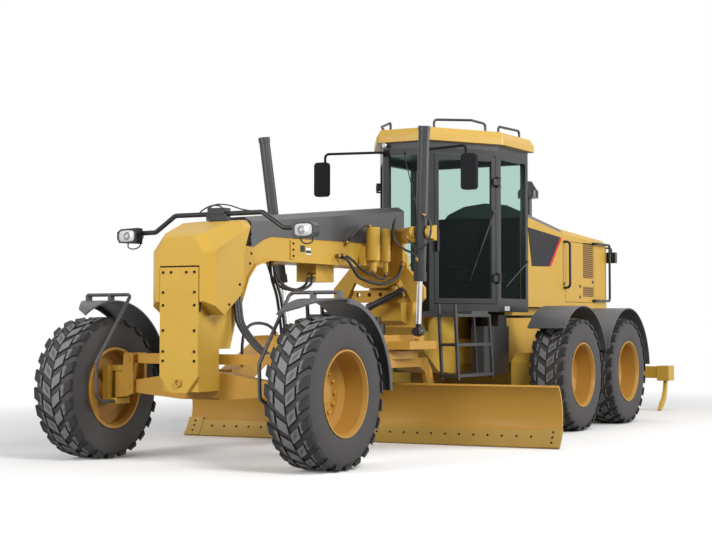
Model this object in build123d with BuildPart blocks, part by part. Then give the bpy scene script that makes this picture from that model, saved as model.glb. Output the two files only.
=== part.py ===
"""Motor grader: articulated six-wheel machine with a drawbar, a circle, a blade and a rear ripper.

Millimetres. +X points forward, +Y to the machine's left and +Z up. The origin lies on the
ground under the middle of the machine's box. X places are given as distances behind the front
axle, through aft().
"""
from build123d import *
from math import asin, atan2, cos, degrees, radians, sin
import os

os.makedirs("parts", exist_ok=True)

# Driving dimensions of the running gear
FRONT_AXLE_X = 4700.0
WHEELBASE = 6120.0
TANDEM_SPACING = 1520.0
TRACK = 2420.0
TYRE_DIAMETER = 1280.0
TYRE_WIDTH = 420.0
RIM_DIAMETER = 700.0
RIM_WIDTH = 400.0
RIM_WALL = 15.0
RIM_DISC_OFFSET = -60.0
RIM_DISC_THICKNESS = 24.0
HUB_RADIUS = 115.0
SPINDLE_RADIUS = 60.0

# Clearances
RUNNING = 0.3
GAP = 6.0

# Front axle, wheel lean and steering
KINGPIN_Y = TRACK / 2 - 285.0
KINGPIN_RADIUS = 68.0
KINGPIN_LOW = 560.0
KINGPIN_HIGH = 790.0
LEAN_PIN_Y = KINGPIN_Y - 143.0
LEAN_PIN_LOW_Z = 660.0
LEAN_PIN_HIGH_Z = 909.0
LEAN_PIN_RADIUS = 26.0
AXLE_HALF_DEPTH = 62.0
BRACKET_EAR = 34.0

# Rear frame's rails
RAIL_INNER = 300.0
RAIL_OUTER = 400.0

# Front frame
BEAM_HALF_WIDTH = 185.0
BEAM_BOTTOM = 1790.0
BEAM_TOP = 2030.0
NOSE_HALF_WIDTH = 200.0
COLUMN_FRONT = 375.0
NOSE_FRONT = 400.0
NOSE_BOTTOM = 640.0
NOSE_PLATE_TOP = 1697.0
SADDLE_X = 3060.0
ARTICULATION_X = 4650.0

# Drawbar, circle and blade
CIRCLE_X = 2480.0
CIRCLE_RADIUS = 700.0
CIRCLE_WIDTH = 110.0
CIRCLE_TOP = 950.0
CIRCLE_DEPTH = 80.0
BLADE_ANGLE = 4.0
BLADE_LENGTH = 4270.0
BLADE_HEIGHT = 610.0
BLADE_RADIUS = 413.0
BLADE_THICKNESS = 25.0
BALL_X = 260.0
BALL_Z = 720.0
BALL_RADIUS = 75.0

WORLD = Plane.XY


def aft(distance):
    """Return the X place that lies a distance behind the front axle."""
    return FRONT_AXLE_X - distance


def placed(frame, point):
    """Return a point of a frame in the machine's own coordinates."""
    return frame.from_local_coords(Vector(*point))


def section(points, plane, radius=0.0):
    """Return a closed outline on a plane, with its corners rounded where a radius is given."""
    with BuildSketch(plane) as outline:
        with BuildLine():
            Polyline(*points, close=True)
        make_face()
        if radius:
            fillet(outline.vertices(), radius)
    return outline.sketch


def side_plate(points, y_low, y_high, radius=0.0, mode=Mode.ADD, frame=WORLD):
    """Add a plate drawn from the side as (x, z) points, from y_low to y_high."""
    plane = Plane(origin=placed(frame, (0, y_high, 0)), x_dir=frame.x_dir, z_dir=-frame.y_dir)
    extrude(section(points, plane, radius), amount=y_high - y_low, mode=mode)


def top_plate(points, z_low, z_high, radius=0.0, mode=Mode.ADD, frame=WORLD):
    """Add a plate drawn from above as (x, y) points, from z_low to z_high."""
    plane = Plane(origin=placed(frame, (0, 0, z_low)), x_dir=frame.x_dir, z_dir=frame.z_dir)
    extrude(section(points, plane, radius), amount=z_high - z_low, mode=mode)


def front_plate(points, x_low, x_high, radius=0.0, mode=Mode.ADD, frame=WORLD):
    """Add a plate drawn from the front as (y, z) points, from x_low to x_high."""
    plane = Plane(origin=placed(frame, (x_low, 0, 0)), x_dir=frame.y_dir, z_dir=frame.x_dir)
    extrude(section(points, plane, radius), amount=x_high - x_low, mode=mode)


def block(x_low, x_high, y_low, y_high, z_low, z_high, mode=Mode.ADD, frame=WORLD):
    """Add a block between two corners."""
    corners = [(x_low, y_low), (x_high, y_low), (x_high, y_high), (x_low, y_high)]
    top_plate(corners, z_low, z_high, mode=mode, frame=frame)


def rod(start, end, radius, mode=Mode.ADD, frame=WORLD):
    """Add a round bar from one point to another."""
    first = placed(frame, start)
    last = placed(frame, end)
    with BuildSketch(Plane(origin=first, z_dir=last - first)) as circle:
        Circle(radius)
    extrude(circle.sketch, amount=(last - first).length, mode=mode)


def ring(start, end, outer, inner, frame=WORLD):
    """Add a round sleeve from one point to another."""
    first = placed(frame, start)
    last = placed(frame, end)
    with BuildSketch(Plane(origin=first, z_dir=last - first)) as circle:
        Circle(outer)
        Circle(inner, mode=Mode.SUBTRACT)
    extrude(circle.sketch, amount=(last - first).length)


def pipe(points, radius, bend, mode=Mode.ADD, frame=WORLD):
    """Add a bent round tube along straight runs joined by arcs."""
    places = [placed(frame, point) for point in points]
    with BuildLine() as route:
        if len(places) == 2:
            Line(*places)
        else:
            FilletPolyline(*places, radius=bend)
    with BuildSketch(Plane(origin=places[0], z_dir=places[1] - places[0])) as circle:
        Circle(radius)
    sweep(circle.sketch, path=route.wires()[0], mode=mode)


def finish(part, name):
    """Label a finished piece and write it."""
    part.label = name
    export_step(part, f"parts/{name}.step")


# Wheels: name, distance behind the front axle, side
REAR_1 = WHEELBASE - TANDEM_SPACING / 2
REAR_2 = WHEELBASE + TANDEM_SPACING / 2
WHEELS = [
    ("front_left", 0.0, 1),
    ("front_right", 0.0, -1),
    ("middle_left", REAR_1, 1),
    ("middle_right", REAR_1, -1),
    ("rear_left", REAR_2, 1),
    ("rear_right", REAR_2, -1),
]
WHEEL_Z = TYRE_DIAMETER / 2
HUB_INNER = -142.0


def wheel_plane(distance, side):
    """Return a plane on the wheel's middle whose local X runs outward and whose Y is radial."""
    centre = (aft(distance), side * TRACK / 2, WHEEL_Z)
    return Plane(origin=centre, x_dir=(0, side, 0), z_dir=(side, 0, 0))


def wheel_axis(distance, side):
    """Return the axis that the wheel turns about."""
    return Axis((aft(distance), side * TRACK / 2, WHEEL_Z), (0, 1, 0))


for wheel, distance, side in WHEELS:
    bead = RIM_DIAMETER / 2 + RUNNING
    tread = TYRE_DIAMETER / 2
    half = TYRE_WIDTH / 2
    with BuildPart() as tyre:
        with BuildSketch(wheel_plane(distance, side)):
            with BuildLine():
                Polyline(
                    (-half + 32, bead),
                    (-half + 8, bead + 60),
                    (-half, bead + 150),
                    (-half + 10, tread - 62),
                    (-half + 40, tread - 6),
                    (-half + 70, tread),
                    (half - 70, tread),
                    (half - 40, tread - 6),
                    (half - 10, tread - 62),
                    (half, bead + 150),
                    (half - 8, bead + 60),
                    (half - 32, bead),
                    close=True,
                )
            make_face()
        revolve(axis=wheel_axis(distance, side))
    finish(tyre.part, f"tyre_{wheel}")

    flange = RIM_DIAMETER / 2 + 16
    seat = RIM_DIAMETER / 2
    inner = seat - RIM_WALL
    rim_half = RIM_WIDTH / 2
    disc_out = RIM_DISC_OFFSET + RIM_DISC_THICKNESS
    with BuildPart() as rim:
        with BuildSketch(wheel_plane(distance, side)):
            with BuildLine():
                Polyline(
                    (-rim_half - 4, flange),
                    (-rim_half - 4, inner + 8),
                    (-rim_half + 40, inner - 6),
                    (RIM_DISC_OFFSET - 30, inner - 6),
                    (RIM_DISC_OFFSET, inner - 60),
                    (RIM_DISC_OFFSET, HUB_RADIUS),
                    (HUB_INNER, HUB_RADIUS),
                    (HUB_INNER, SPINDLE_RADIUS + RUNNING),
                    (disc_out - 30, SPINDLE_RADIUS + RUNNING),
                    (disc_out - 30, 0),
                    (disc_out + 34, 0),
                    (disc_out + 34, HUB_RADIUS - 25),
                    (disc_out, HUB_RADIUS - 5),
                    (disc_out, inner - 70),
                    (disc_out + 34, inner - 14),
                    (rim_half - 30, inner),
                    (rim_half + 4, inner + 16),
                    (rim_half + 4, flange),
                    (rim_half - 12, flange),
                    (rim_half - 14, seat),
                    (-rim_half + 14, seat),
                    (-rim_half + 12, flange),
                    close=True,
                )
            make_face()
        revolve(axis=wheel_axis(distance, side))
    finish(rim.part, f"rim_{wheel}")

# Front axle: a beam with an eye at each end for the lean brackets
FRAME_COLUMN_REAR = -75.0
AXLE_CENTRE_REAR = 120.0
with BuildPart() as front_axle:
    front_plate(
        [
            (-LEAN_PIN_Y, 610),
            (-230, 560),
            (230, 560),
            (LEAN_PIN_Y, 610),
            (LEAN_PIN_Y, 712),
            (230, 790),
            (-230, 790),
            (-LEAN_PIN_Y, 712),
        ],
        aft(AXLE_HALF_DEPTH),
        aft(-AXLE_HALF_DEPTH),
    )
    block(aft(AXLE_CENTRE_REAR), aft(FRAME_COLUMN_REAR + RUNNING), -190, 190, 575, 795)
    for side in (-1, 1):
        low = (aft(AXLE_HALF_DEPTH), side * LEAN_PIN_Y, LEAN_PIN_LOW_Z)
        high = (aft(-AXLE_HALF_DEPTH), side * LEAN_PIN_Y, LEAN_PIN_LOW_Z)
        rod(low, high, 58)
        rod(low, high, LEAN_PIN_RADIUS + RUNNING, mode=Mode.SUBTRACT)
    ball_centre = (aft(BALL_X), 0, BALL_Z)
    rod((aft(AXLE_CENTRE_REAR - 10), 0, BALL_Z), ball_centre, 42)
    with Locations(ball_centre):
        Sphere(BALL_RADIUS)
finish(front_axle.part, "front_axle")

# Lean bar: ties the tops of the lean brackets
with BuildPart() as lean_bar:
    front_plate(
        [
            (-LEAN_PIN_Y, 872),
            (-600, 864),
            (600, 864),
            (LEAN_PIN_Y, 872),
            (LEAN_PIN_Y, 946),
            (600, 954),
            (-600, 954),
            (-LEAN_PIN_Y, 946),
        ],
        aft(38),
        aft(-38),
    )
    for side in (-1, 1):
        low = (aft(AXLE_HALF_DEPTH), side * LEAN_PIN_Y, LEAN_PIN_HIGH_Z)
        high = (aft(-AXLE_HALF_DEPTH), side * LEAN_PIN_Y, LEAN_PIN_HIGH_Z)
        rod(low, high, 44)
        rod(low, high, LEAN_PIN_RADIUS + RUNNING, mode=Mode.SUBTRACT)
finish(lean_bar.part, "lean_bar")

# Lean brackets, knuckles and front fenders
EAR_IN = AXLE_HALF_DEPTH + 3.0
EAR_OUT = EAR_IN + BRACKET_EAR
ARM_THICKNESS = 50.0
ARM_GAP = 5.0
KNUCKLE_WEB_IN = KINGPIN_Y + KINGPIN_RADIUS + 10.0
KNUCKLE_WEB_OUT = TRACK / 2 + HUB_INNER - ARM_GAP
ARM_HIGH = KINGPIN_HIGH + ARM_GAP + ARM_THICKNESS
ARM_LOW = KINGPIN_LOW - ARM_GAP - ARM_THICKNESS
STEER_LUG = 160.0
FENDER_RADIUS = 790.0
FENDER_THICKNESS = 14.0
FENDER_STAY_RADIUS = 16.0
FENDER_STAY_Z = WHEEL_Z + FENDER_RADIUS + 50.0

for name, side in (("left", 1), ("right", -1)):
    with BuildPart() as lean_bracket:
        for low, high in ((-EAR_OUT, -EAR_IN), (EAR_IN, EAR_OUT)):
            front_plate(
                [
                    (side * (LEAN_PIN_Y - 56), LEAN_PIN_LOW_Z - 60),
                    (side * (LEAN_PIN_Y - 48), LEAN_PIN_HIGH_Z + 50),
                    (side * (LEAN_PIN_Y + 52), LEAN_PIN_HIGH_Z + 50),
                    (side * (LEAN_PIN_Y + 66), KINGPIN_HIGH),
                    (side * KINGPIN_Y, KINGPIN_HIGH),
                    (side * KINGPIN_Y, KINGPIN_LOW),
                    (side * (LEAN_PIN_Y + 40), LEAN_PIN_LOW_Z - 90),
                ],
                aft(high),
                aft(low),
            )
        for pin_z in (LEAN_PIN_LOW_Z, LEAN_PIN_HIGH_Z):
            rod(
                (aft(EAR_OUT + 8), side * LEAN_PIN_Y, pin_z),
                (aft(-EAR_OUT - 8), side * LEAN_PIN_Y, pin_z),
                LEAN_PIN_RADIUS,
            )
        rod(
            (aft(0), side * KINGPIN_Y, KINGPIN_LOW),
            (aft(0), side * KINGPIN_Y, KINGPIN_HIGH),
            KINGPIN_RADIUS,
        )
        block(aft(EAR_OUT), aft(-EAR_OUT), *sorted((side * (KINGPIN_Y - 45), side * KINGPIN_Y)), KINGPIN_LOW + 20,
              KINGPIN_HIGH - 20)
        rod(
            (aft(0), side * KINGPIN_Y, KINGPIN_LOW - 1),
            (aft(0), side * KINGPIN_Y, KINGPIN_HIGH + 1),
            30 + RUNNING,
            mode=Mode.SUBTRACT,
        )
    finish(lean_bracket.part, f"lean_bracket_{name}")

    with BuildPart() as knuckle:
        for low in (ARM_LOW, KINGPIN_HIGH + ARM_GAP):
            rod(
                (aft(0), side * KINGPIN_Y, low),
                (aft(0), side * KINGPIN_Y, low + ARM_THICKNESS),
                65,
            )
            block(aft(65), aft(-65), *sorted((side * KINGPIN_Y, side * KNUCKLE_WEB_OUT)), low, low + ARM_THICKNESS)
        block(
            aft(0), aft(-STEER_LUG), *sorted((side * (KINGPIN_Y - 60), side * KINGPIN_Y)), ARM_LOW,
            ARM_LOW + ARM_THICKNESS
        )
        rod((aft(0), side * KINGPIN_Y, ARM_LOW), (aft(0), side * KINGPIN_Y, ARM_HIGH), 30)
        front_plate(
            [
                (side * KNUCKLE_WEB_IN, ARM_LOW),
                (side * KNUCKLE_WEB_OUT, ARM_LOW),
                (side * KNUCKLE_WEB_OUT, ARM_HIGH),
                (side * KNUCKLE_WEB_IN, ARM_HIGH),
            ],
            aft(110),
            aft(-110),
        )
        rod(
            (aft(0), side * (KNUCKLE_WEB_OUT - 10), WHEEL_Z),
            (aft(0), side * (TRACK / 2 + RIM_DISC_OFFSET - ARM_GAP - 6), WHEEL_Z),
            SPINDLE_RADIUS,
        )
    finish(knuckle.part, f"knuckle_{name}")

    inner_y = TRACK / 2 - TYRE_WIDTH / 2
    outer_y = TRACK / 2 + TYRE_WIDTH / 2
    with BuildPart() as fender:
        start = -35.0
        hub = (aft(0), side * TRACK / 2, WHEEL_Z)
        plane = Plane(
            origin=hub,
            x_dir=(0, side, 0),
            z_dir=(side * cos(radians(start)), 0, side * sin(radians(start))),
        )
        with BuildSketch(plane):
            with BuildLine():
                Polyline(
                    (-TYRE_WIDTH / 2, FENDER_RADIUS),
                    (-TYRE_WIDTH / 2, FENDER_RADIUS - FENDER_THICKNESS),
                    (TYRE_WIDTH / 2 - FENDER_THICKNESS, FENDER_RADIUS - FENDER_THICKNESS),
                    (TYRE_WIDTH / 2 - FENDER_THICKNESS, FENDER_RADIUS - 48),
                    (TYRE_WIDTH / 2, FENDER_RADIUS - 48),
                    (TYRE_WIDTH / 2, FENDER_RADIUS - 8),
                    (TYRE_WIDTH / 2 - 20, FENDER_RADIUS),
                    close=True,
                )
            make_face()
        revolve(axis=Axis(hub, (0, -1, 0)), revolution_arc=125)
        top_plate(
            [
                (aft(-430), side * (inner_y - 1)),
                (aft(-330), side * (inner_y + 160)),
                (aft(40), side * (outer_y + 1)),
                (aft(-900), side * (outer_y + 1)),
                (aft(-900), side * (inner_y - 1)),
            ],
            1000,
            1600,
            mode=Mode.SUBTRACT,
        )
        stay_y = side * (KINGPIN_Y - 30)
        pipe(
            [
                (aft(20), side * (outer_y - 70), FENDER_STAY_Z),
                (aft(20), side * 850, FENDER_STAY_Z),
                (aft(-455), side * 850, 890),
                (aft(-450), side * 855, 600),
                (aft(-330), stay_y, ARM_LOW + ARM_THICKNESS / 2),
                (aft(-STEER_LUG) + RUNNING, stay_y, ARM_LOW + ARM_THICKNESS / 2),
            ],
            FENDER_STAY_RADIUS,
            45,
        )
        for clamp_y in (inner_y + 60, outer_y - 100):
            block(
                aft(48), aft(-8), *sorted((side * clamp_y, side * (clamp_y + 34))),
                WHEEL_Z + FENDER_RADIUS - 6, FENDER_STAY_Z
            )
    finish(fender.part, f"fender_front_{name}")

# Front frame: nose column, arched beam, gooseneck and hitch, as (distance aft, z) points
COLUMN_SLOT_TOP = 1000.0
HITCH_LOW = 668.0
HITCH_HIGH = 1140.0
HITCH_LUG = 78.0
HITCH_RADIUS = 120.0
HITCH_PIN_RADIUS = 48.0
LOWER_FRAME_HALF = 250.0
CAB_SEAT_Z = 1349.7
ARCH = [(90, COLUMN_SLOT_TOP), (200, 1300), (360, 1620), (480, 1735), (700, BEAM_BOTTOM)]
BEAM_CROWN = [(-60, 1905), (450, 1908), (600, 1975), (742, 2012), (2200, BEAM_TOP), (3330, BEAM_TOP)]
GOOSENECK = [(2900, BEAM_BOTTOM), (3225, 1600), (3270, 1250), (3480, 1180)]


def outline_x(points):
    """Return (distance aft, z) points as (x, z) points."""
    return [(aft(distance), z) for distance, z in points]


def beam_outline(grow=0.0):
    """Return the side outline of the nose column and the beam."""
    crown = [(distance, z + grow) for distance, z in BEAM_CROWN]
    return outline_x(
        [(-COLUMN_FRONT - grow, NOSE_BOTTOM), (FRAME_COLUMN_REAR - grow, NOSE_BOTTOM)]
        + [(FRAME_COLUMN_REAR - grow, COLUMN_SLOT_TOP)]
        + ARCH
        + GOOSENECK
        + [(3480, 1760)]
        + crown[::-1]
        + [(-COLUMN_FRONT - grow, 1700 + grow)]
    )


with BuildPart() as front_frame:
    side_plate(beam_outline(), -BEAM_HALF_WIDTH, BEAM_HALF_WIDTH)
    # Flanges that run under the arch and the beam
    lower = ARCH[1:] + [(2900, BEAM_BOTTOM)]
    upper = [(distance + 4, z + 22) for distance, z in lower]
    side_plate(outline_x(lower + upper[::-1]), -BEAM_HALF_WIDTH - 20, BEAM_HALF_WIDTH + 20)
    # Bolted joint pads on the beam's sides
    side_plate(
        outline_x([(1060, 1815), (1140, 1815), (1140, 1995), (1060, 1995)]),
        -BEAM_HALF_WIDTH - 12,
        BEAM_HALF_WIDTH + 12,
    )
    # Lower frame under the cab, down to the hitch
    side_plate(
        outline_x(
            [
                (3400, 1180),
                (3700, 900),
                (4000, 700),
                (4300, HITCH_LOW),
                (4480, HITCH_LOW),
                (4480, HITCH_HIGH),
                (3700, 1140),
                (3440, 1700),
                (3400, 1700),
            ]
        ),
        -LOWER_FRAME_HALF,
        LOWER_FRAME_HALF,
    )
    # Nose plate with chamfered lower corners
    front_plate(
        [
            (-NOSE_HALF_WIDTH, 770),
            (-85, NOSE_BOTTOM - 8),
            (85, NOSE_BOTTOM - 8),
            (NOSE_HALF_WIDTH, 770),
            (NOSE_HALF_WIDTH, NOSE_PLATE_TOP),
            (-NOSE_HALF_WIDTH, NOSE_PLATE_TOP),
        ],
        aft(-COLUMN_FRONT),
        aft(-NOSE_FRONT - 8),
    )
    # Seat for the cab
    block(aft(4440), aft(3760), -LOWER_FRAME_HALF, LOWER_FRAME_HALF, HITCH_HIGH - 5, CAB_SEAT_Z)
    for low, high in ((HITCH_LOW, HITCH_LOW + HITCH_LUG), (HITCH_HIGH - HITCH_LUG, HITCH_HIGH)):
        block(aft(ARTICULATION_X), aft(4470), -HITCH_RADIUS, HITCH_RADIUS, low, high)
        rod((aft(ARTICULATION_X), 0, low), (aft(ARTICULATION_X), 0, high), HITCH_RADIUS)
    rod((aft(ARTICULATION_X), 0, HITCH_LOW), (aft(ARTICULATION_X), 0, HITCH_HIGH), HITCH_PIN_RADIUS)
finish(front_frame.part, "front_frame")

# Nose shroud: faceted cover, as (distance aft, top half width, top z, shoulder half width, shoulder z)
SHROUD_SECTIONS = [
    (-NOSE_FRONT, 153, 1957, 250, 1811),
    (-330, 205, 1995, 330, 1838),
    (-8, 250, 2104, 330, 1988),
    (249, 250, 2134, 330, 2092),
]
SHROUD_BASE = 1280.0
PLATE_GAP = 14.0
with BuildPart() as nose_shroud:
    faces = []
    for distance, top_half, top_z, shoulder_half, shoulder_z in SHROUD_SECTIONS:
        plane = Plane(origin=(aft(distance), 0, 0), x_dir=(0, 1, 0), z_dir=(1, 0, 0))
        outline = [
            (-shoulder_half, SHROUD_BASE),
            (shoulder_half, SHROUD_BASE),
            (shoulder_half, shoulder_z),
            (top_half, top_z),
            (-top_half, top_z),
            (-shoulder_half, shoulder_z),
        ]
        faces.append(section(outline, plane).face())
    loft(faces, ruled=True)
    side_plate(
        outline_x(
            [
                (262, 2160),
                (193, 2073),
                (87, 1827),
                (89, 1568),
                (45, 1467),
                (-205, 1293),
                (-NOSE_FRONT - 10, 1412),
                (-NOSE_FRONT - 10, 1200),
                (300, 1200),
                (300, 2160),
            ]
        ),
        -400,
        400,
        mode=Mode.SUBTRACT,
    )
    side_plate(
        beam_outline(RUNNING), -BEAM_HALF_WIDTH - RUNNING, BEAM_HALF_WIDTH + RUNNING, mode=Mode.SUBTRACT
    )
    block(
        aft(-COLUMN_FRONT),
        aft(-NOSE_FRONT - 20),
        -NOSE_HALF_WIDTH - 8,
        NOSE_HALF_WIDTH + 8,
        1200,
        NOSE_PLATE_TOP + PLATE_GAP,
        mode=Mode.SUBTRACT,
    )
finish(nose_shroud.part, "nose_shroud")

# Beam cover: dark cover along the top of the beam
COVER_FRONT = 400.0
COVER_REAR = 3310.0
COVER_HALF = BEAM_HALF_WIDTH + 10
with BuildPart() as beam_cover:
    crown = [(distance, z + RUNNING) for distance, z in BEAM_CROWN]
    low_edge = [(COVER_FRONT, crown[1][1])] + crown[1:5] + [(COVER_REAR, BEAM_TOP + RUNNING)]
    high_edge = [(COVER_REAR, 2455), (COVER_FRONT, 2172)]
    side_plate(outline_x(low_edge + high_edge), -COVER_HALF, COVER_HALF)
    top_edges = beam_cover.edges().filter_by(lambda edge: edge.center().Z > 2300 and abs(edge.center().Y) > 100)
    chamfer(top_edges, length=70, length2=45)
finish(beam_cover.part, "beam_cover")

# Lift cylinders: the barrels hang in forks on the saddle and slope a little inward
BARREL_TOP = (2330.0, 940.0, 3160.0)
BARREL_END = (2476.1, 813.4, 1660.0)
ROD_EYE_Z = 1140.0
TRUNNION_Z = 2120.0
BARREL_RADIUS = 56.0
LIFT_ROD_RADIUS = 28.0
ROD_BALL_RADIUS = 52.0
ROD_INSIDE = 820.0
TRUNNION_SHARE = (BARREL_TOP[2] - TRUNNION_Z) / (BARREL_TOP[2] - BARREL_END[2])
TRUNNION_X = BARREL_TOP[0] + TRUNNION_SHARE * (BARREL_END[0] - BARREL_TOP[0])
TRUNNION_Y = BARREL_TOP[1] + TRUNNION_SHARE * (BARREL_END[1] - BARREL_TOP[1])
EYE_SHARE = (BARREL_TOP[2] - ROD_EYE_Z) / (BARREL_TOP[2] - BARREL_END[2])
EYE_X = BARREL_TOP[0] + EYE_SHARE * (BARREL_END[0] - BARREL_TOP[0])
EYE_Y = BARREL_TOP[1] + EYE_SHARE * (BARREL_END[1] - BARREL_TOP[1])
FORK_GAP = BARREL_RADIUS + 16.0
FORK_EAR = 28.0
TRUNNION_PIN = 22.0


def mirrored(point, side):
    """Return a (distance aft, y, z) point as a place on one side of the machine."""
    return (aft(point[0]), side * point[1], point[2])


LINK_BAR_Z = 1525.0
LINK_BAR_HALF = 500.0
LINK_HOLES = 7
LINK_HOLE_PITCH = 135.0
LINK_HOLE_RADIUS = 24.0

# Saddle: yoke plate round the beam, arms to the two forks and the link bar below
with BuildPart() as saddle:
    front_plate(
        [(-250, 2200), (250, 2200), (320, 2100), (330, 1850), (250, 1650), (120, 1592), (-120, 1592),
         (-250, 1650), (-330, 1850), (-320, 2100)],
        aft(SADDLE_X + 30),
        aft(SADDLE_X - 30),
    )
    for side in (-1, 1):
        fork_back = TRUNNION_X + 90
        ear_in = TRUNNION_Y - FORK_GAP - FORK_EAR
        ear_out = TRUNNION_Y + FORK_GAP + FORK_EAR
        top_plate(
            [
                (aft(SADDLE_X + 30), side * 205),
                (aft(SADDLE_X - 40), side * 205),
                (aft(fork_back + 30), side * ear_in),
                (aft(fork_back), side * ear_in),
                (aft(fork_back), side * ear_out),
                (aft(fork_back + 55), side * ear_out),
                (aft(SADDLE_X - 30), side * 330),
                (aft(SADDLE_X + 30), side * 330),
            ],
            TRUNNION_Z - 75,
            TRUNNION_Z + 75,
        )
        for low, high in ((ear_in, ear_in + FORK_EAR), (ear_out - FORK_EAR, ear_out)):
            block(aft(fork_back), aft(TRUNNION_X - 20), *sorted((side * low, side * high)), TRUNNION_Z - 60,
                  TRUNNION_Z + 60)
            rod((aft(TRUNNION_X), side * low, TRUNNION_Z), (aft(TRUNNION_X), side * high, TRUNNION_Z), 60)
        rod(
            (aft(TRUNNION_X), side * (ear_in - 5), TRUNNION_Z),
            (aft(TRUNNION_X), side * (ear_out + 5), TRUNNION_Z),
            TRUNNION_PIN + RUNNING,
            mode=Mode.SUBTRACT,
        )
        front_plate(
            [
                (side * 250, 1950),
                (side * 330, 1950),
                (side * 345, 1800),
                (side * 540, 1590),
                (side * 540, 1480),
                (side * LINK_BAR_HALF, 1440),
                (side * 400, 1440),
                (side * 260, 1700),
            ],
            aft(SADDLE_X + 85),
            aft(SADDLE_X + 30),
        )
    front_plate(
        [
            (-LINK_BAR_HALF, LINK_BAR_Z + 45),
            (-LINK_BAR_HALF, LINK_BAR_Z - 45),
            (-LINK_BAR_HALF + 120, LINK_BAR_Z - 85),
            (LINK_BAR_HALF - 120, LINK_BAR_Z - 85),
            (LINK_BAR_HALF, LINK_BAR_Z - 45),
            (LINK_BAR_HALF, LINK_BAR_Z + 45),
        ],
        aft(SADDLE_X + 135),
        aft(SADDLE_X + 85),
    )
    for number in range(LINK_HOLES):
        hole_y = (number - (LINK_HOLES - 1) / 2) * LINK_HOLE_PITCH
        rod(
            (aft(SADDLE_X + 140), hole_y, LINK_BAR_Z),
            (aft(SADDLE_X + 60), hole_y, LINK_BAR_Z),
            LINK_HOLE_RADIUS,
            mode=Mode.SUBTRACT,
        )
    side_plate(
        beam_outline(RUNNING), -BEAM_HALF_WIDTH - RUNNING, BEAM_HALF_WIDTH + RUNNING, mode=Mode.SUBTRACT
    )
    block(aft(2901), aft(2600), -250, 250, 1780, 1820, mode=Mode.SUBTRACT)
    side_plate(
        outline_x([(2890, BEAM_TOP - 60), (3360, BEAM_TOP - 60), (3360, 2300), (2890, 2300)]),
        -COVER_HALF - RUNNING,
        COVER_HALF + RUNNING,
        mode=Mode.SUBTRACT,
    )
finish(saddle.part, "saddle")

for name, side in (("left", 1), ("right", -1)):
    top = Vector(*mirrored(BARREL_TOP, side))
    end = Vector(*mirrored(BARREL_END, side))
    eye = Vector(*mirrored((EYE_X, EYE_Y, ROD_EYE_Z), side))
    along = (top - end).normalized()
    with BuildPart() as lift_barrel:
        rod(end, top, BARREL_RADIUS)
        rod(end - along * 18, end + along * 70, BARREL_RADIUS + 9)
        rod(top - along * 50, top, BARREL_RADIUS + 5)
        rod(
            (aft(TRUNNION_X), side * (TRUNNION_Y - FORK_GAP - FORK_EAR), TRUNNION_Z),
            (aft(TRUNNION_X), side * (TRUNNION_Y + FORK_GAP + FORK_EAR), TRUNNION_Z),
            TRUNNION_PIN,
        )
        rod(end - along * 20, top - along * 60, LIFT_ROD_RADIUS + RUNNING, mode=Mode.SUBTRACT)
    finish(lift_barrel.part, f"lift_barrel_{name}")
    with BuildPart() as lift_rod:
        rod(eye, end + along * ROD_INSIDE, LIFT_ROD_RADIUS)
        with Locations(eye):
            Sphere(ROD_BALL_RADIUS)
        rod(eye + Vector(-60, 0, 0), eye + Vector(60, 0, 0), ROD_BALL_RADIUS - 8)
    finish(lift_rod.part, f"lift_rod_{name}")

# Accumulators and their valve block on the beam's left side
ACCUMULATORS = [(2420.0, 70.0), (2680.0, 50.0)]
VALVE_LOW = 1625.0
with BuildPart() as hydraulics:
    block(aft(2790), aft(2330), BEAM_HALF_WIDTH + 20 + RUNNING, 262, 1800, 1880)
    block(aft(2770), aft(2350), BEAM_HALF_WIDTH + RUNNING, 250, 1881, 1990)
    block(aft(2770), aft(2350), BEAM_HALF_WIDTH + 20 + RUNNING, 250, 1850, 1900)
    for distance, radius in ACCUMULATORS:
        rod((aft(distance), 315, 1850), (aft(distance), 315, 2185), radius)
        rod((aft(distance), 315, 1740), (aft(distance), 315, 1855), radius * 0.5)
        block(aft(distance + 30), aft(distance - 30), 240, 320, 1900, 1960)
    # Valve block under the beam
    block(aft(1990), aft(1650), -110, 110, VALVE_LOW, BEAM_BOTTOM - RUNNING)
finish(hydraulics.part, "hydraulics")

# Headlamp bar over the nose, with its bracket and the two lamps
LAMP_X = 170.0
LAMP_Y = 945.0
LAMP_Z = 2012.0
BAR_RADIUS = 22.0
with BuildPart() as headlamps:
    pipe(
        [
            (aft(LAMP_X), -LAMP_Y + 60, 2042),
            (aft(LAMP_X), -690, 2045),
            (aft(LAMP_X), -470, 2188),
            (aft(LAMP_X), 470, 2188),
            (aft(LAMP_X), 690, 2045),
            (aft(LAMP_X), LAMP_Y - 60, 2042),
        ],
        BAR_RADIUS,
        60,
    )
    block(aft(LAMP_X + 30), aft(LAMP_X - 30), -110, 110, 2128.3, 2190)
    block(aft(LAMP_X + 60), aft(LAMP_X - 40), -90, 90, 2186, 2240)
    for side in (-1, 1):
        front_plate(
            [
                (side * (LAMP_Y - 112), LAMP_Z - 70),
                (side * (LAMP_Y + 90), LAMP_Z - 58),
                (side * (LAMP_Y + 112), LAMP_Z - 20),
                (side * (LAMP_Y + 112), LAMP_Z + 40),
                (side * (LAMP_Y + 70), LAMP_Z + 68),
                (side * (LAMP_Y - 112), LAMP_Z + 75),
            ],
            *sorted((aft(LAMP_X - BAR_RADIUS - 75), aft(LAMP_X - BAR_RADIUS + 12))),
        )
finish(headlamps.part, "headlamps")

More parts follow.
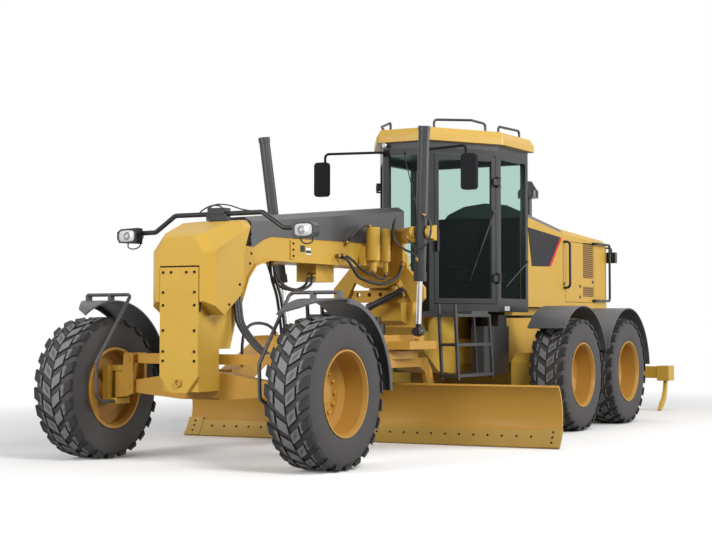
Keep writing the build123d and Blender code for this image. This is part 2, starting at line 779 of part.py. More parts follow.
# Drawbar: socket on the ball, two arms that spread, and the plate that carries the circle
DRAWBAR_LOW = CIRCLE_TOP + 6.0
DRAWBAR_HIGH = DRAWBAR_LOW + 150.0
PLATE_TOP = DRAWBAR_LOW + 40.0
SOCKET_CLEARANCE = 0.4
SOCKET_FRONT = BALL_X - 22.0
CIRCLE_INNER = CIRCLE_RADIUS - CIRCLE_WIDTH
SHOE_HALF = 70.0
MOTOR_X = 2640.0
MOTOR_Y = 190.0
MOTOR_TOP = 1286.0
PAD_HALF = 34.0
PAD_TOP = ROD_EYE_Z - ROD_BALL_RADIUS - 14.0
with BuildPart() as drawbar:
    side_plate(
        outline_x(
            [
                (SOCKET_FRONT, 625),
                (BALL_X + 140, 625),
                (1000, DRAWBAR_LOW),
                (1150, DRAWBAR_LOW),
                (1150, DRAWBAR_HIGH - 10),
                (950, DRAWBAR_HIGH - 10),
                (BALL_X + 110, 815),
                (SOCKET_FRONT, 815),
            ]
        ),
        -105,
        105,
    )
    for side in (-1, 1):
        top_plate(
            [
                (aft(900), 0),
                (aft(900), side * 105),
                (aft(1900), side * 640),
                (aft(2900), side * 640),
                (aft(2900), side * 520),
                (aft(1960), side * 520),
                (aft(1050), 0),
            ],
            DRAWBAR_LOW,
            DRAWBAR_HIGH,
        )
        # Box under each lift cylinder, with the pad for its ball
        top_plate(
            [
                (aft(2120), side * 600),
                (aft(2200), side * (EYE_Y + 75)),
                (aft(2760), side * (EYE_Y + 75)),
                (aft(2860), side * (EYE_Y + 40)),
                (aft(2860), side * 600),
            ],
            DRAWBAR_LOW + 10,
            DRAWBAR_LOW + 90,
        )
        rod(
            (aft(EYE_X), side * EYE_Y, DRAWBAR_LOW + 50),
            (aft(EYE_X), side * EYE_Y, PAD_TOP),
            PAD_HALF,
        )
    with BuildSketch(Plane((aft(CIRCLE_X), 0, DRAWBAR_LOW))) as disc:
        Circle(CIRCLE_RADIUS - 30)
        Circle(CIRCLE_RADIUS - 260, mode=Mode.SUBTRACT)
    extrude(disc.sketch, amount=PLATE_TOP - DRAWBAR_LOW)
    block(aft(MOTOR_X + 160), aft(MOTOR_X - 260), -560, 560, DRAWBAR_LOW, PLATE_TOP + 60)
    block(aft(2090), aft(1860), -560, 560, DRAWBAR_LOW, PLATE_TOP + 40)
    block(aft(2900), aft(2780), -560, 560, DRAWBAR_LOW, DRAWBAR_HIGH)
    # Shoes that reach down inside the circle
    for angle in (45, 135, 225, 315):
        arm = Plane((aft(CIRCLE_X), 0, 0), x_dir=(cos(radians(angle)), sin(radians(angle)), 0), z_dir=(0, 0, 1))
        block(
            CIRCLE_INNER - 80, CIRCLE_INNER - 8, -SHOE_HALF, SHOE_HALF, CIRCLE_TOP - CIRCLE_DEPTH,
            PLATE_TOP, frame=arm
        )
    with Locations((aft(BALL_X), 0, BALL_Z)):
        Sphere(BALL_RADIUS + SOCKET_CLEARANCE, mode=Mode.SUBTRACT)
    with BuildSketch(Plane(origin=(aft(BALL_X), 0, BALL_Z), z_dir=(1, 0, 0))) as mouth:
        Circle(70)
    extrude(mouth.sketch, amount=60, mode=Mode.SUBTRACT)
finish(drawbar.part, "drawbar")

# Circle drive motor on the drawbar
with BuildPart() as circle_motor:
    rod((aft(MOTOR_X), MOTOR_Y, PLATE_TOP + 60 + RUNNING), (aft(MOTOR_X), MOTOR_Y, MOTOR_TOP - 70), 125)
    rod((aft(MOTOR_X), MOTOR_Y, MOTOR_TOP - 80), (aft(MOTOR_X), MOTOR_Y, MOTOR_TOP), 80)
finish(circle_motor.part, "circle_motor")

# Circle with inner teeth, and the two arms that hang from it
BLADE_FRAME = Plane(
    origin=(aft(CIRCLE_X), 0, 0),
    x_dir=(cos(radians(BLADE_ANGLE)), sin(radians(BLADE_ANGLE)), 0),
    z_dir=(0, 0, 1),
)
CIRCLE_TEETH = 36
ARM_Y = 620.0
ARM_WIDTH = 46.0
PITCH_X = -600.0
PITCH_Z = 300.0
PITCH_PIN = 30.0
CIRCLE_LOW = CIRCLE_TOP - CIRCLE_DEPTH
with BuildPart() as circle:
    with BuildSketch(Plane((aft(CIRCLE_X), 0, CIRCLE_LOW))) as band:
        Circle(CIRCLE_RADIUS)
        Circle(CIRCLE_INNER + 20, mode=Mode.SUBTRACT)
        with PolarLocations(CIRCLE_INNER + 18, CIRCLE_TEETH):
            Trapezoid(50, 34, 65, rotation=90)
    extrude(band.sketch, amount=CIRCLE_DEPTH)
    for side in (-1, 1):
        y_low, y_high = sorted((side * (ARM_Y - ARM_WIDTH), side * ARM_Y))
        side_plate(
            [
                (430, CIRCLE_LOW),
                (430, CIRCLE_LOW - 50),
                (300, CIRCLE_LOW - 85),
                (-380, CIRCLE_LOW - 90),
                (-520, CIRCLE_LOW - 150),
                (-590, CIRCLE_LOW - 290),
                (PITCH_X + 60, PITCH_Z + 60),
                (PITCH_X + 60, PITCH_Z - 60),
                (PITCH_X - 60, PITCH_Z - 60),
                (PITCH_X - 105, PITCH_Z + 60),
                (-760, CIRCLE_LOW - 300),
                (-690, CIRCLE_LOW - 130),
                (-560, CIRCLE_LOW),
            ],
            y_low,
            y_high,
            frame=BLADE_FRAME,
        )
        block(-300, 430, *sorted((side * 300, side * ARM_Y)), CIRCLE_LOW - 40, CIRCLE_LOW, frame=BLADE_FRAME,
              mode=Mode.ADD)
        rod(
            (PITCH_X, y_low - 1, PITCH_Z),
            (PITCH_X, y_high + 1, PITCH_Z),
            PITCH_PIN + RUNNING,
            mode=Mode.SUBTRACT,
            frame=BLADE_FRAME,
        )
finish(circle.part, "circle")

# Blade: bracket that tips on the arms, moldboard that slides in it, and the cutting edge
ARC_Z = 310.0
MOLD_TOP = 615.0
MOLD_LOW = 50.0
EDGE_LOW = 2.0
EDGE_HIGH = 165.0
EDGE_THICKNESS = 17.0
END_BIT_THICKNESS = 24.0
END_BIT_INNER = 1950.0
RAIL_HALF = 20.0
RAIL_HIGH_Z = 500.0
RAIL_LOW_Z = 130.0
RAIL_BACK = -442.0
RAIL_END = 1500.0
RAIL_CLEARANCE = 5.0
PLATE_INNER = 515.0
PLATE_OUTER = 560.0
SHIFT_X = -490.0
SHIFT_Z = 300.0
SHIFT_BARREL = 40.0
SHIFT_ROD = 24.0
SHIFT_TRAVEL = 500.0
LUG_Y = 1205.0
MOLD_BACK = BLADE_RADIUS + BLADE_THICKNESS


def arc_strip(inner, outer, z_low, z_high, y_low, y_high):
    """Add a curved strip along the blade, hollow side forward, between two heights."""
    top = 180 - degrees(asin((z_high - ARC_Z) / outer))
    bottom = 180 + degrees(asin((ARC_Z - z_low) / outer))
    plane = Plane(origin=placed(BLADE_FRAME, (0, y_high, 0)), x_dir=BLADE_FRAME.x_dir, z_dir=-BLADE_FRAME.y_dir)
    with BuildSketch(plane) as strip:
        with BuildLine():
            back = CenterArc((0, ARC_Z), outer, top, bottom - top)
            face = CenterArc((0, ARC_Z), inner, top, bottom - top)
            Line(back @ 0, face @ 0)
            Line(back @ 1, face @ 1)
        make_face()
    extrude(strip.sketch, amount=y_high - y_low)


with BuildPart() as blade_bracket:
    for side in (-1, 1):
        y_low, y_high = sorted((side * PLATE_INNER, side * PLATE_OUTER))
        side_plate(
            [
                (PITCH_X - 60, PITCH_Z + 30),
                (-560, 440),
                (-470, 560),
                (-380, 560),
                (-420, 330),
                (-420, 250),
                (-385, 78),
                (-460, 78),
                (-560, 180),
                (PITCH_X - 60, PITCH_Z - 30),
            ],
            y_low,
            y_high,
            frame=BLADE_FRAME,
        )
        for rail_z in (RAIL_HIGH_Z, RAIL_LOW_Z):
            block(
                RAIL_BACK - RAIL_CLEARANCE,
                -300,
                y_low - 1,
                y_high + 1,
                rail_z - RAIL_HALF - RAIL_CLEARANCE,
                rail_z + RAIL_HALF + RAIL_CLEARANCE,
                mode=Mode.SUBTRACT,
                frame=BLADE_FRAME,
            )
        rod(
            (PITCH_X, side * (PLATE_OUTER - 10), PITCH_Z),
            (PITCH_X, side * (ARM_Y + 25), PITCH_Z),
            PITCH_PIN,
            frame=BLADE_FRAME,
        )
    rod((PITCH_X, -PLATE_INNER, PITCH_Z), (PITCH_X, PLATE_INNER, PITCH_Z), 48, frame=BLADE_FRAME)
    rod((0, -700, ARC_Z), (0, 700, ARC_Z), MOLD_BACK + RAIL_CLEARANCE, mode=Mode.SUBTRACT, frame=BLADE_FRAME)
    rod((SHIFT_X, -PLATE_OUTER, SHIFT_Z), (SHIFT_X, PLATE_OUTER, SHIFT_Z), SHIFT_BARREL, frame=BLADE_FRAME)
    rod(
        (SHIFT_X, 30 - PLATE_OUTER, SHIFT_Z),
        (SHIFT_X, PLATE_OUTER + 1, SHIFT_Z),
        SHIFT_ROD + RUNNING,
        mode=Mode.SUBTRACT,
        frame=BLADE_FRAME,
    )
finish(blade_bracket.part, "blade_bracket")

with BuildPart() as moldboard:
    half_mold = BLADE_LENGTH / 2 - 15
    arc_strip(BLADE_RADIUS, MOLD_BACK, MOLD_LOW, MOLD_TOP, -half_mold, half_mold)
    for rail_z in (RAIL_HIGH_Z, RAIL_LOW_Z):
        block(
            RAIL_BACK, -385, -RAIL_END, RAIL_END, rail_z - RAIL_HALF, rail_z + RAIL_HALF, frame=BLADE_FRAME
        )
    block(SHIFT_X - 42, -425, LUG_Y - 20, LUG_Y + 20, SHIFT_Z - 42, SHIFT_Z + 42, frame=BLADE_FRAME)
    rod(
        (SHIFT_X, LUG_Y - 21, SHIFT_Z),
        (SHIFT_X, LUG_Y + 21, SHIFT_Z),
        SHIFT_ROD + RUNNING,
        mode=Mode.SUBTRACT,
        frame=BLADE_FRAME,
    )
    half_edge = BLADE_LENGTH / 2 + 1
    block(-500, 0, -half_edge, half_edge, -50, MOLD_LOW, mode=Mode.SUBTRACT, frame=BLADE_FRAME)
finish(moldboard.part, "moldboard")

with BuildPart() as side_shift_rod:
    rod((SHIFT_X, 20, SHIFT_Z), (SHIFT_X, LUG_Y + 40, SHIFT_Z), SHIFT_ROD, frame=BLADE_FRAME)
finish(side_shift_rod.part, "side_shift_rod")

with BuildPart() as cutting_edge:
    face = BLADE_RADIUS - RUNNING
    arc_strip(face - EDGE_THICKNESS, face, EDGE_LOW, EDGE_HIGH, -END_BIT_INNER, END_BIT_INNER)
    for side in (-1, 1):
        y_low, y_high = sorted((side * END_BIT_INNER, side * BLADE_LENGTH / 2))
        arc_strip(face - END_BIT_THICKNESS, face, EDGE_LOW, EDGE_HIGH + 25, y_low, y_high)
finish(cutting_edge.part, "cutting_edge")

# Cab plan: corners as distance aft and half width, front to rear
CAB_FRONT = (3720.0, 285.0)
CAB_POST = (4500.0, 750.0)
CAB_REAR = (5330.0, 750.0)
CAB_WALL = 60.0
POST_WIDTH = 70.0
FLOOR_LOW = 1350.0
FLOOR_HIGH = 1420.0
WINDOW_LOW = 1500.0
WINDOW_HIGH = 3060.0
WALL_TOP = 3140.0
ROOF_BAND = 65.0
ROOF_CAP = 145.0
EAVE = 70.0
EAVE_LOW = WALL_TOP + ROOF_BAND
ROOF_TOP = EAVE_LOW + ROOF_CAP
GLASS = 8.0
RAIL_TUBE = 14.0
DOOR_THICKNESS = 40.0
DOOR_FRAME = 55.0


def cab_outline(grow):
    """Return the cab's outline seen from above, grown outward by a distance."""
    front_x, front_y = CAB_FRONT
    post_x, post_y = CAB_POST
    rear_x, rear_y = CAB_REAR
    slope = 0.55 * grow
    left = [
        (aft(front_x - grow), front_y + slope),
        (aft(post_x - slope / 2), post_y + grow),
        (aft(rear_x + grow), rear_y + grow),
    ]
    return left + [(x, -y) for x, y in reversed(left)]


def wall_frame(start, end):
    """Return a frame on a cab wall: local X along the wall, Y outward on the left side."""
    first = Vector(aft(start[0]), start[1], 0)
    along = (Vector(aft(end[0]), end[1], 0) - first).normalized()
    return Plane(origin=first, x_dir=along, z_dir=(0, 0, 1))


FRONT_WALL = wall_frame((CAB_FRONT[0], -CAB_FRONT[1]), CAB_FRONT)
FRONT_SPAN = 2 * CAB_FRONT[1]
DOOR_SPAN = ((CAB_POST[0] - CAB_FRONT[0]) ** 2 + (CAB_POST[1] - CAB_FRONT[1]) ** 2) ** 0.5
SIDE_SPAN = CAB_REAR[0] - CAB_POST[0]
REAR_SPAN = 2 * CAB_REAR[1]

# Walls with a pane: name, start corner, end corner, length, which way is outward along local Y
PANES = [
    ("front", (CAB_FRONT[0], CAB_FRONT[1]), (CAB_FRONT[0], -CAB_FRONT[1]), FRONT_SPAN, 1),
    ("left", (CAB_REAR[0], CAB_REAR[1]), (CAB_POST[0], CAB_POST[1]), SIDE_SPAN, 1),
    ("right", (CAB_POST[0], -CAB_POST[1]), (CAB_REAR[0], -CAB_REAR[1]), SIDE_SPAN, 1),
    ("rear", (CAB_REAR[0], -CAB_REAR[1]), (CAB_REAR[0], CAB_REAR[1]), REAR_SPAN, 1),
]
# Doors: name, side, hinge corner, closing corner
DOORS = [
    ("left", 1, (CAB_POST[0], CAB_POST[1]), (CAB_FRONT[0], CAB_FRONT[1])),
    ("right", -1, (CAB_POST[0], -CAB_POST[1]), (CAB_FRONT[0], -CAB_FRONT[1])),
]
DOOR_LOW = FLOOR_HIGH + 14.0
DOOR_HIGH = WINDOW_HIGH + 20.0
DOOR_START = 30.0
HINGE_U = 8.0
HINGE_OUT = 30.0
HINGE_PIN = 10.0
HINGE_EYE = 20.0
HINGE_HALF = 35.0
HINGE_HEIGHTS = (1720.0, 2790.0)
DOOR_END = DOOR_SPAN - 62.0

with BuildPart() as cab_frame:
    top_plate(cab_outline(0), FLOOR_LOW, WALL_TOP)
    top_plate(cab_outline(-CAB_WALL), FLOOR_HIGH, WALL_TOP + 1, mode=Mode.SUBTRACT)
    for name, start, end, span, out in PANES:
        frame = wall_frame(start, end)
        block(
            POST_WIDTH, span - POST_WIDTH, -150, 150, WINDOW_LOW, WINDOW_HIGH, mode=Mode.SUBTRACT, frame=frame
        )
    for name, side, start, end in DOORS:
        frame = wall_frame(start, end)
        block(
            DOOR_START, DOOR_END, -110, 110, DOOR_LOW, DOOR_HIGH, mode=Mode.SUBTRACT, frame=frame
        )
        # Hinge pins held by lugs on the door post
        pin_y = side * HINGE_OUT
        lug_low, lug_high = sorted((-side * 12, side * (HINGE_OUT + 16)))
        for height in HINGE_HEIGHTS:
            low, high = height - HINGE_HALF, height + HINGE_HALF
            rod((HINGE_U, pin_y, low - 18), (HINGE_U, pin_y, high + 18), HINGE_PIN, frame=frame)
            block(-10, HINGE_U + 18, lug_low, lug_high, low - 22, low - 5, frame=frame)
            block(-10, HINGE_U + 18, lug_low, lug_high, high + 5, high + 22, frame=frame)
finish(cab_frame.part, "cab_frame")

with BuildPart() as cab_glass:
    for name, start, end, span, out in PANES:
        frame = wall_frame(start, end)
        block(
            POST_WIDTH + RUNNING,
            span - POST_WIDTH - RUNNING,
            -24 - GLASS,
            -24,
            WINDOW_LOW + RUNNING,
            WINDOW_HIGH - RUNNING,
            frame=frame,
        )
finish(cab_glass.part, "cab_glass")

for name, side, start, end in DOORS:
    frame = wall_frame(start, end)
    outward = side
    near, far = DOOR_START + GAP, DOOR_END - GAP
    low, high = DOOR_LOW + GAP, DOOR_HIGH - GAP
    y_low, y_high = sorted((0, -outward * DOOR_THICKNESS))
    with BuildPart() as door:
        block(near, far, y_low, y_high, low, high, frame=frame)
        block(
            near + DOOR_FRAME,
            far - DOOR_FRAME,
            y_low - 1,
            y_high + 1,
            low + DOOR_FRAME,
            high - DOOR_FRAME,
            mode=Mode.SUBTRACT,
            frame=frame,
        )
        grip = sorted((outward * -1, outward * 34))
        block(far - 44, far - 14, *grip, 2000, 2240, frame=frame)
        # Hinge leaves and eyes
        foot = sorted((-outward, outward * (HINGE_OUT + 6)))
        arm = sorted((outward * (HINGE_OUT - 6), outward * (HINGE_OUT + 6)))
        for height in HINGE_HEIGHTS:
            bottom, top = height - HINGE_HALF, height + HINGE_HALF
            block(near + 6, near + 50, *foot, bottom, top, frame=frame)
            block(HINGE_U, near + 50, *arm, bottom, top, frame=frame)
            rod((HINGE_U, side * HINGE_OUT, bottom), (HINGE_U, side * HINGE_OUT, top), HINGE_EYE, frame=frame)
            rod(
                (HINGE_U, side * HINGE_OUT, bottom - 1),
                (HINGE_U, side * HINGE_OUT, top + 1),
                HINGE_PIN + RUNNING,
                mode=Mode.SUBTRACT,
                frame=frame,
            )
    finish(door.part, f"door_{name}")
    glass_low, glass_high = sorted((-outward * 16, -outward * (16 + GLASS)))
    with BuildPart() as door_glass:
        block(
            near + DOOR_FRAME + RUNNING,
            far - DOOR_FRAME - RUNNING,
            glass_low,
            glass_high,
            low + DOOR_FRAME + RUNNING,
            high - DOOR_FRAME - RUNNING,
            frame=frame,
        )
    finish(door_glass.part, f"door_glass_{name}")

# Roof: black band on the walls, cap with an eave, and rails along its front corners and sides
ROOF_RAILS = [
    [(3870, 270, -20), (3870, 270, 100), (4200, 565, 112), (4400, 640, 90), (4400, 640, -20)],
    [(4640, 690, -20), (4640, 690, 85), (5200, 700, 95), (5200, 700, -20)],
]
with BuildPart() as cab_roof:
    for grow, low, high in ((0, WALL_TOP + RUNNING, EAVE_LOW + 1), (EAVE, EAVE_LOW, ROOF_TOP)):
        with BuildSketch(Plane((0, 0, low))) as layer:
            with BuildLine():
                Polyline(*cab_outline(grow), close=True)
            make_face()
            if grow > 0:
                fillet(layer.vertices(), 60)
        extrude(layer.sketch, amount=high - low)
    chamfer(cab_roof.edges().group_by(Axis.Z)[-1], length=0.5 * ROOF_CAP, length2=0.3 * ROOF_CAP)
    for rail in ROOF_RAILS:
        for side in (-1, 1):
            places = [mirrored((distance, y, ROOF_TOP + rise), side) for distance, y, rise in rail]
            pipe(places, RAIL_TUBE, 40)
finish(cab_roof.part, "cab_roof")

# Mirrors on tubes from the cab's front corners
MIRROR_X = 3440.0
MIRROR_Y = 900.0
MIRROR_LOW = 2620.0
MIRROR_HIGH = 3000.0
MIRROR_HALF = 90.0
MIRROR_TUBE = 14.0
TUBE_Y = 240.0
TUBE_Z = 3090.0
with BuildPart() as mirrors:
    for side in (-1, 1):
        y_low, y_high = sorted((side * (MIRROR_Y - MIRROR_HALF), side * (MIRROR_Y + MIRROR_HALF)))
        corners = [(y_low, MIRROR_LOW), (y_high, MIRROR_LOW), (y_high, MIRROR_HIGH), (y_low, MIRROR_HIGH)]
        front_plate(corners, aft(MIRROR_X + 25), aft(MIRROR_X - 25), radius=40)
        pipe(
            [
                mirrored((CAB_FRONT[0] - 12, TUBE_Y, TUBE_Z), side),
                mirrored((CAB_FRONT[0] - 120, TUBE_Y, TUBE_Z), side),
                mirrored((MIRROR_X, MIRROR_Y - 40, TUBE_Z), side),
                mirrored((MIRROR_X, MIRROR_Y - 40, MIRROR_HIGH - 40), side),
            ],
            MIRROR_TUBE,
            45,
        )
        block(
            aft(CAB_FRONT[0] - RUNNING),
            aft(CAB_FRONT[0] - 22),
            *sorted((side * (TUBE_Y - 30), side * (TUBE_Y + 30))),
            TUBE_Z - 35,
            TUBE_Z + 35,
        )
finish(mirrors.part, "mirrors")

# Inside the cab
SEAT_X = 4760.0
CONSOLE_X = 4160.0
WHEEL_TILT = Plane(origin=(aft(CONSOLE_X + 130), 0, 2130), x_dir=(0, 1, 0), z_dir=(-0.55, 0, 0.835))
with BuildPart() as cab_interior:
    block(aft(SEAT_X + 200), aft(SEAT_X - 200), -180, 180, FLOOR_HIGH + RUNNING, 1700)
    with BuildSketch(Plane((0, 0, 1700))) as cushion:
        with Locations((aft(SEAT_X), 0)):
            RectangleRounded(540, 520, 60)
    extrude(cushion.sketch, amount=130)
    side_plate(
        outline_x([(SEAT_X + 170, 1790), (SEAT_X + 250, 2440), (SEAT_X + 350, 2440), (SEAT_X + 290, 1790)]),
        -240,
        240,
    )
    for side in (-1, 1):
        block(aft(SEAT_X + 200), aft(SEAT_X - 130), *sorted((side * 245, side * 335)), 1900, 1960)
        block(aft(SEAT_X + 130), aft(SEAT_X), *sorted((side * 230, side * 300)), 1760, 1901)
    side_plate(
        outline_x(
            [
                (CONSOLE_X - 80, FLOOR_HIGH + RUNNING),
                (CONSOLE_X - 60, 2000),
                (CONSOLE_X + 60, 2110),
                (CONSOLE_X + 130, 2030),
                (CONSOLE_X + 60, 1900),
                (CONSOLE_X + 60, FLOOR_HIGH + RUNNING),
            ]
        ),
        -70,
        70,
    )
    rod((aft(CONSOLE_X + 60), 0, 2030), (aft(CONSOLE_X + 130), 0, 2136), 24)
    with BuildSketch(WHEEL_TILT) as rim_face:
        Circle(200)
        Circle(172, mode=Mode.SUBTRACT)
    extrude(rim_face.sketch, amount=26)
    with BuildSketch(WHEEL_TILT) as spoke_face:
        Circle(42)
        Rectangle(360, 34)
    extrude(spoke_face.sketch, amount=18)
finish(cab_interior.part, "cab_interior")

# Dark tanks behind the ladders, on the rear frame's rails
TANK_FRONT = 4520.0
TANK_REAR = 5025.0
TANK_OUTER = 640.0
TANK_LOW = 660.0
with BuildPart() as tanks:
    for side in (-1, 1):
        top_plate(
            [
                (aft(TANK_FRONT), side * (RAIL_OUTER + RUNNING)),
                (aft(TANK_FRONT), side * (TANK_OUTER - 80)),
                (aft(TANK_FRONT + 80), side * TANK_OUTER),
                (aft(TANK_REAR), side * TANK_OUTER),
                (aft(TANK_REAR), side * (RAIL_OUTER + RUNNING)),
            ],
            TANK_LOW,
            1190,
        )
        top_plate(
            [
                (aft(4800), side * (RAIL_OUTER + RUNNING)),
                (aft(4800), side * (TANK_OUTER - 30)),
                (aft(TANK_REAR), side * (TANK_OUTER - 30)),
                (aft(TANK_REAR), side * (RAIL_OUTER + RUNNING)),
            ],
            1080,
            1320,
        )
finish(tanks.part, "tanks")

# Ladders on both sides, hung from a plate under the cab that runs in to the frame
LADDER_OUTER = 900.0
LADDER_INNER = 690.0
LADDER_RAIL = 24.0
FRONT_RAIL = ((3190.0, 640.0), (3110.0, 1420.0))
REAR_RAIL = ((4030.0, 640.0), (3940.0, 1320.0))
TREADS = [(3180.0, 4035.0, 665.0), (3145.0, 3995.0, 985.0), (3115.0, 3955.0, 1290.0)]
TREAD_THICKNESS = 30.0
with BuildPart() as ladders:
    for side in (-1, 1):
        y_low, y_high = sorted((side * LADDER_INNER, side * LADDER_OUTER))
        for front, rear, tread_z in TREADS:
            block(aft(rear), aft(front), y_low, y_high, tread_z, tread_z + TREAD_THICKNESS)
        for rail_y in (LADDER_INNER, LADDER_OUTER):
            side_low, side_high = sorted((side * rail_y, side * (rail_y - LADDER_RAIL)))
            if rail_y == LADDER_INNER:
                side_low, side_high = sorted((side * rail_y, side * (rail_y + LADDER_RAIL)))
            for (foot, foot_z), (head, head_z) in (FRONT_RAIL, REAR_RAIL):
                side_plate(
                    outline_x([(foot - 20, foot_z), (foot + 20, foot_z), (head + 20, head_z), (head - 20, head_z)]),
                    side_low,
                    side_high,
                )
        block(aft(3895), aft(3485), *sorted((side * 250.3, side * LADDER_OUTER)), 1290, 1330)
        top_plate(
            [
                (aft(3895), side * (CAB_FRONT[1] + 40)),
                (aft(3485), side * 300),
                (aft(3485), side * LADDER_OUTER),
                (aft(3895), side * LADDER_OUTER),
            ],
            1329,
            1349.7,
        )
finish(ladders.part, "ladders")

# Rear frame: tongue of the hitch, two rails, rear axle and the plate that carries the ripper
ENGINE_SEAT_Z = 825.0
DECK_Z = 1419.7
AXLE_TUBE = 180.0
TANDEM_OUTER = TRACK / 2 - 225.0
TANDEM_INNER = TANDEM_OUTER - 335.0
REAR_PLATE_X = 8560.0
RIPPER_PIN_X = 8650.0
RIPPER_PIN_Z = 800.0
LINK_PIN_Z = 1120.0
RIPPER_REACH = 1030.0
RIPPER_DROP = 240.0
RIPPER_PIN = 28.0
ARM_INNER = 325.0
ARM_OUTER = 375.0
with BuildPart() as rear_frame:
    top_plate(
        [
            (aft(ARTICULATION_X), 110),
            (aft(4780), 130),
            (aft(4870), RAIL_OUTER),
            (aft(4990), RAIL_OUTER),
            (aft(4990), -RAIL_OUTER),
            (aft(4870), -RAIL_OUTER),
            (aft(4780), -130),
            (aft(ARTICULATION_X), -110),
        ],
        HITCH_LOW + HITCH_LUG + 14,
        HITCH_HIGH - HITCH_LUG - 14,
    )
    rod((aft(ARTICULATION_X), 0, 760), (aft(ARTICULATION_X), 0, 1048), 110)
    rod(
        (aft(ARTICULATION_X), 0, 700),
        (aft(ARTICULATION_X), 0, 1100),
        HITCH_PIN_RADIUS + RUNNING,
        mode=Mode.SUBTRACT,
    )
    for side in (-1, 1):
        y_low, y_high = sorted((side * RAIL_INNER, side * RAIL_OUTER))
        side_plate(
            outline_x(
                [
                    (4870, 760),
                    (REAR_PLATE_X, 760),
                    (REAR_PLATE_X, 1300),
                    (8440, DECK_Z),
                    (5760, DECK_Z),
                    (5640, 1320),
                    (5300, 1320),
                    (5060, 1048),
                    (4870, 1048),
                ]
            ),
            y_low,
            y_high,
        )
        lug_low, lug_high = sorted((side * (ARM_OUTER + 15), side * (ARM_OUTER + 55)))
        side_plate(
            outline_x([(8540, 700), (8690, 740), (8710, 800), (8710, 1120), (8690, 1180), (8540, 1220)]),
            lug_low,
            lug_high,
        )
        for pin_z in (RIPPER_PIN_Z, LINK_PIN_Z):
            rod(
                (aft(RIPPER_PIN_X), side * (ARM_INNER - 10), pin_z),
                (aft(RIPPER_PIN_X), side * (ARM_OUTER + 20), pin_z),
                RIPPER_PIN,
            )
    block(aft(REAR_PLATE_X), aft(REAR_PLATE_X - 60), -440, 440, 600, 1300)
    block(aft(7500), aft(5100), -RAIL_OUTER, RAIL_OUTER, 760, ENGINE_SEAT_Z)
    rod((aft(WHEELBASE), -TANDEM_INNER - 20, WHEEL_Z), (aft(WHEELBASE), TANDEM_INNER + 20, WHEEL_Z), AXLE_TUBE)
    for side in (-1, 1):
        y_low, y_high = sorted((side * TANDEM_INNER, side * TANDEM_OUTER))
        side_plate(
            outline_x(
                [
                    (REAR_1 - 300, 520),
                    (REAR_1 - 180, 420),
                    (REAR_2 + 180, 420),
                    (REAR_2 + 300, 520),
                    (REAR_2 + 300, 780),
                    (REAR_2 + 180, 880),
                    (REAR_1 - 180, 880),
                    (REAR_1 - 300, 780),
                ]
            ),
            y_low,
            y_high,
        )
        for distance in (REAR_1, REAR_2):
            rod(
                (aft(distance), side * (TANDEM_OUTER - 5), WHEEL_Z),
                (aft(distance), side * (TRACK / 2 + HUB_INNER - 5), WHEEL_Z),
                HUB_RADIUS - 5,
            )
            rod(
                (aft(distance), side * (TANDEM_OUTER - 5), WHEEL_Z),
                (aft(distance), side * (TRACK / 2 + RIM_DISC_OFFSET - 12), WHEEL_Z),
                SPINDLE_RADIUS,
            )
finish(rear_frame.part, "rear_frame")

# Rear fenders: arcs over each wheel, with inner plates and brackets to the rails
ARCH_INNER_Y = TRACK / 2 - 240.0
ARCH_OUTER_Y = TRACK / 2 + 210.0
ARCH_SHEET = 10.0
# Wheel, outer radius, front and rear angle above the horizontal, bracket top
ARCHES = [(REAR_1, 785.0, 42.5, 160.0, 1315.0), (REAR_2, 770.0, 22.0, 175.0, 1365.0)]
with BuildPart() as rear_fenders:
    for side in (-1, 1):
        y_low, y_high = sorted((side * ARCH_INNER_Y, side * ARCH_OUTER_Y))
        plane = Plane(origin=(0, y_high, 0), x_dir=(1, 0, 0), z_dir=(0, -1, 0))
        for distance, radius, front, rear, bracket_top in ARCHES:
            with BuildSketch(plane) as arch:
                with BuildLine():
                    outer = CenterArc((aft(distance), WHEEL_Z), radius, front, rear - front)
                    inner = CenterArc((aft(distance), WHEEL_Z), radius - ARCH_SHEET, front, rear - front)
                    Line(outer @ 0, inner @ 0)
                    Line(outer @ 1, inner @ 1)
                make_face()
            extrude(arch.sketch, amount=y_high - y_low)
            plate_low, plate_high = sorted((side * ARCH_INNER_Y, side * (ARCH_INNER_Y + 8)))
            block(
                aft(distance + 110),
                aft(distance - 110),
                plate_low,
                plate_high,
                bracket_top - 40,
                WHEEL_Z + radius - 12,
            )
            block(
                aft(distance + 45),
                aft(distance - 45),
                *sorted((side * (RAIL_OUTER + RUNNING), side * (ARCH_INNER_Y + 4))),
                bracket_top - 30,
                bracket_top,
            )
finish(rear_fenders.part, "rear_fenders")

# Hood: hollow shell open below, as (distance aft, edge z, crown above the edge)
HOOD_SECTIONS = [(5770.0, 2550.0, 125.0), (6900.0, 2410.0, 105.0), (8450.0, 2330.0, 55.0)]
HOOD_HALF = 550.0
HOOD_LOW = 1420.0
HOOD_WALL = 25.0
TOP_PANEL_REAR = 6900.0
INTAKE_X = 6620.0
INTAKE_Y = 200.0
INTAKE_FOOT = 2510.0
DOME_LOW = 2790.0
DOME_RADIUS = 130.0


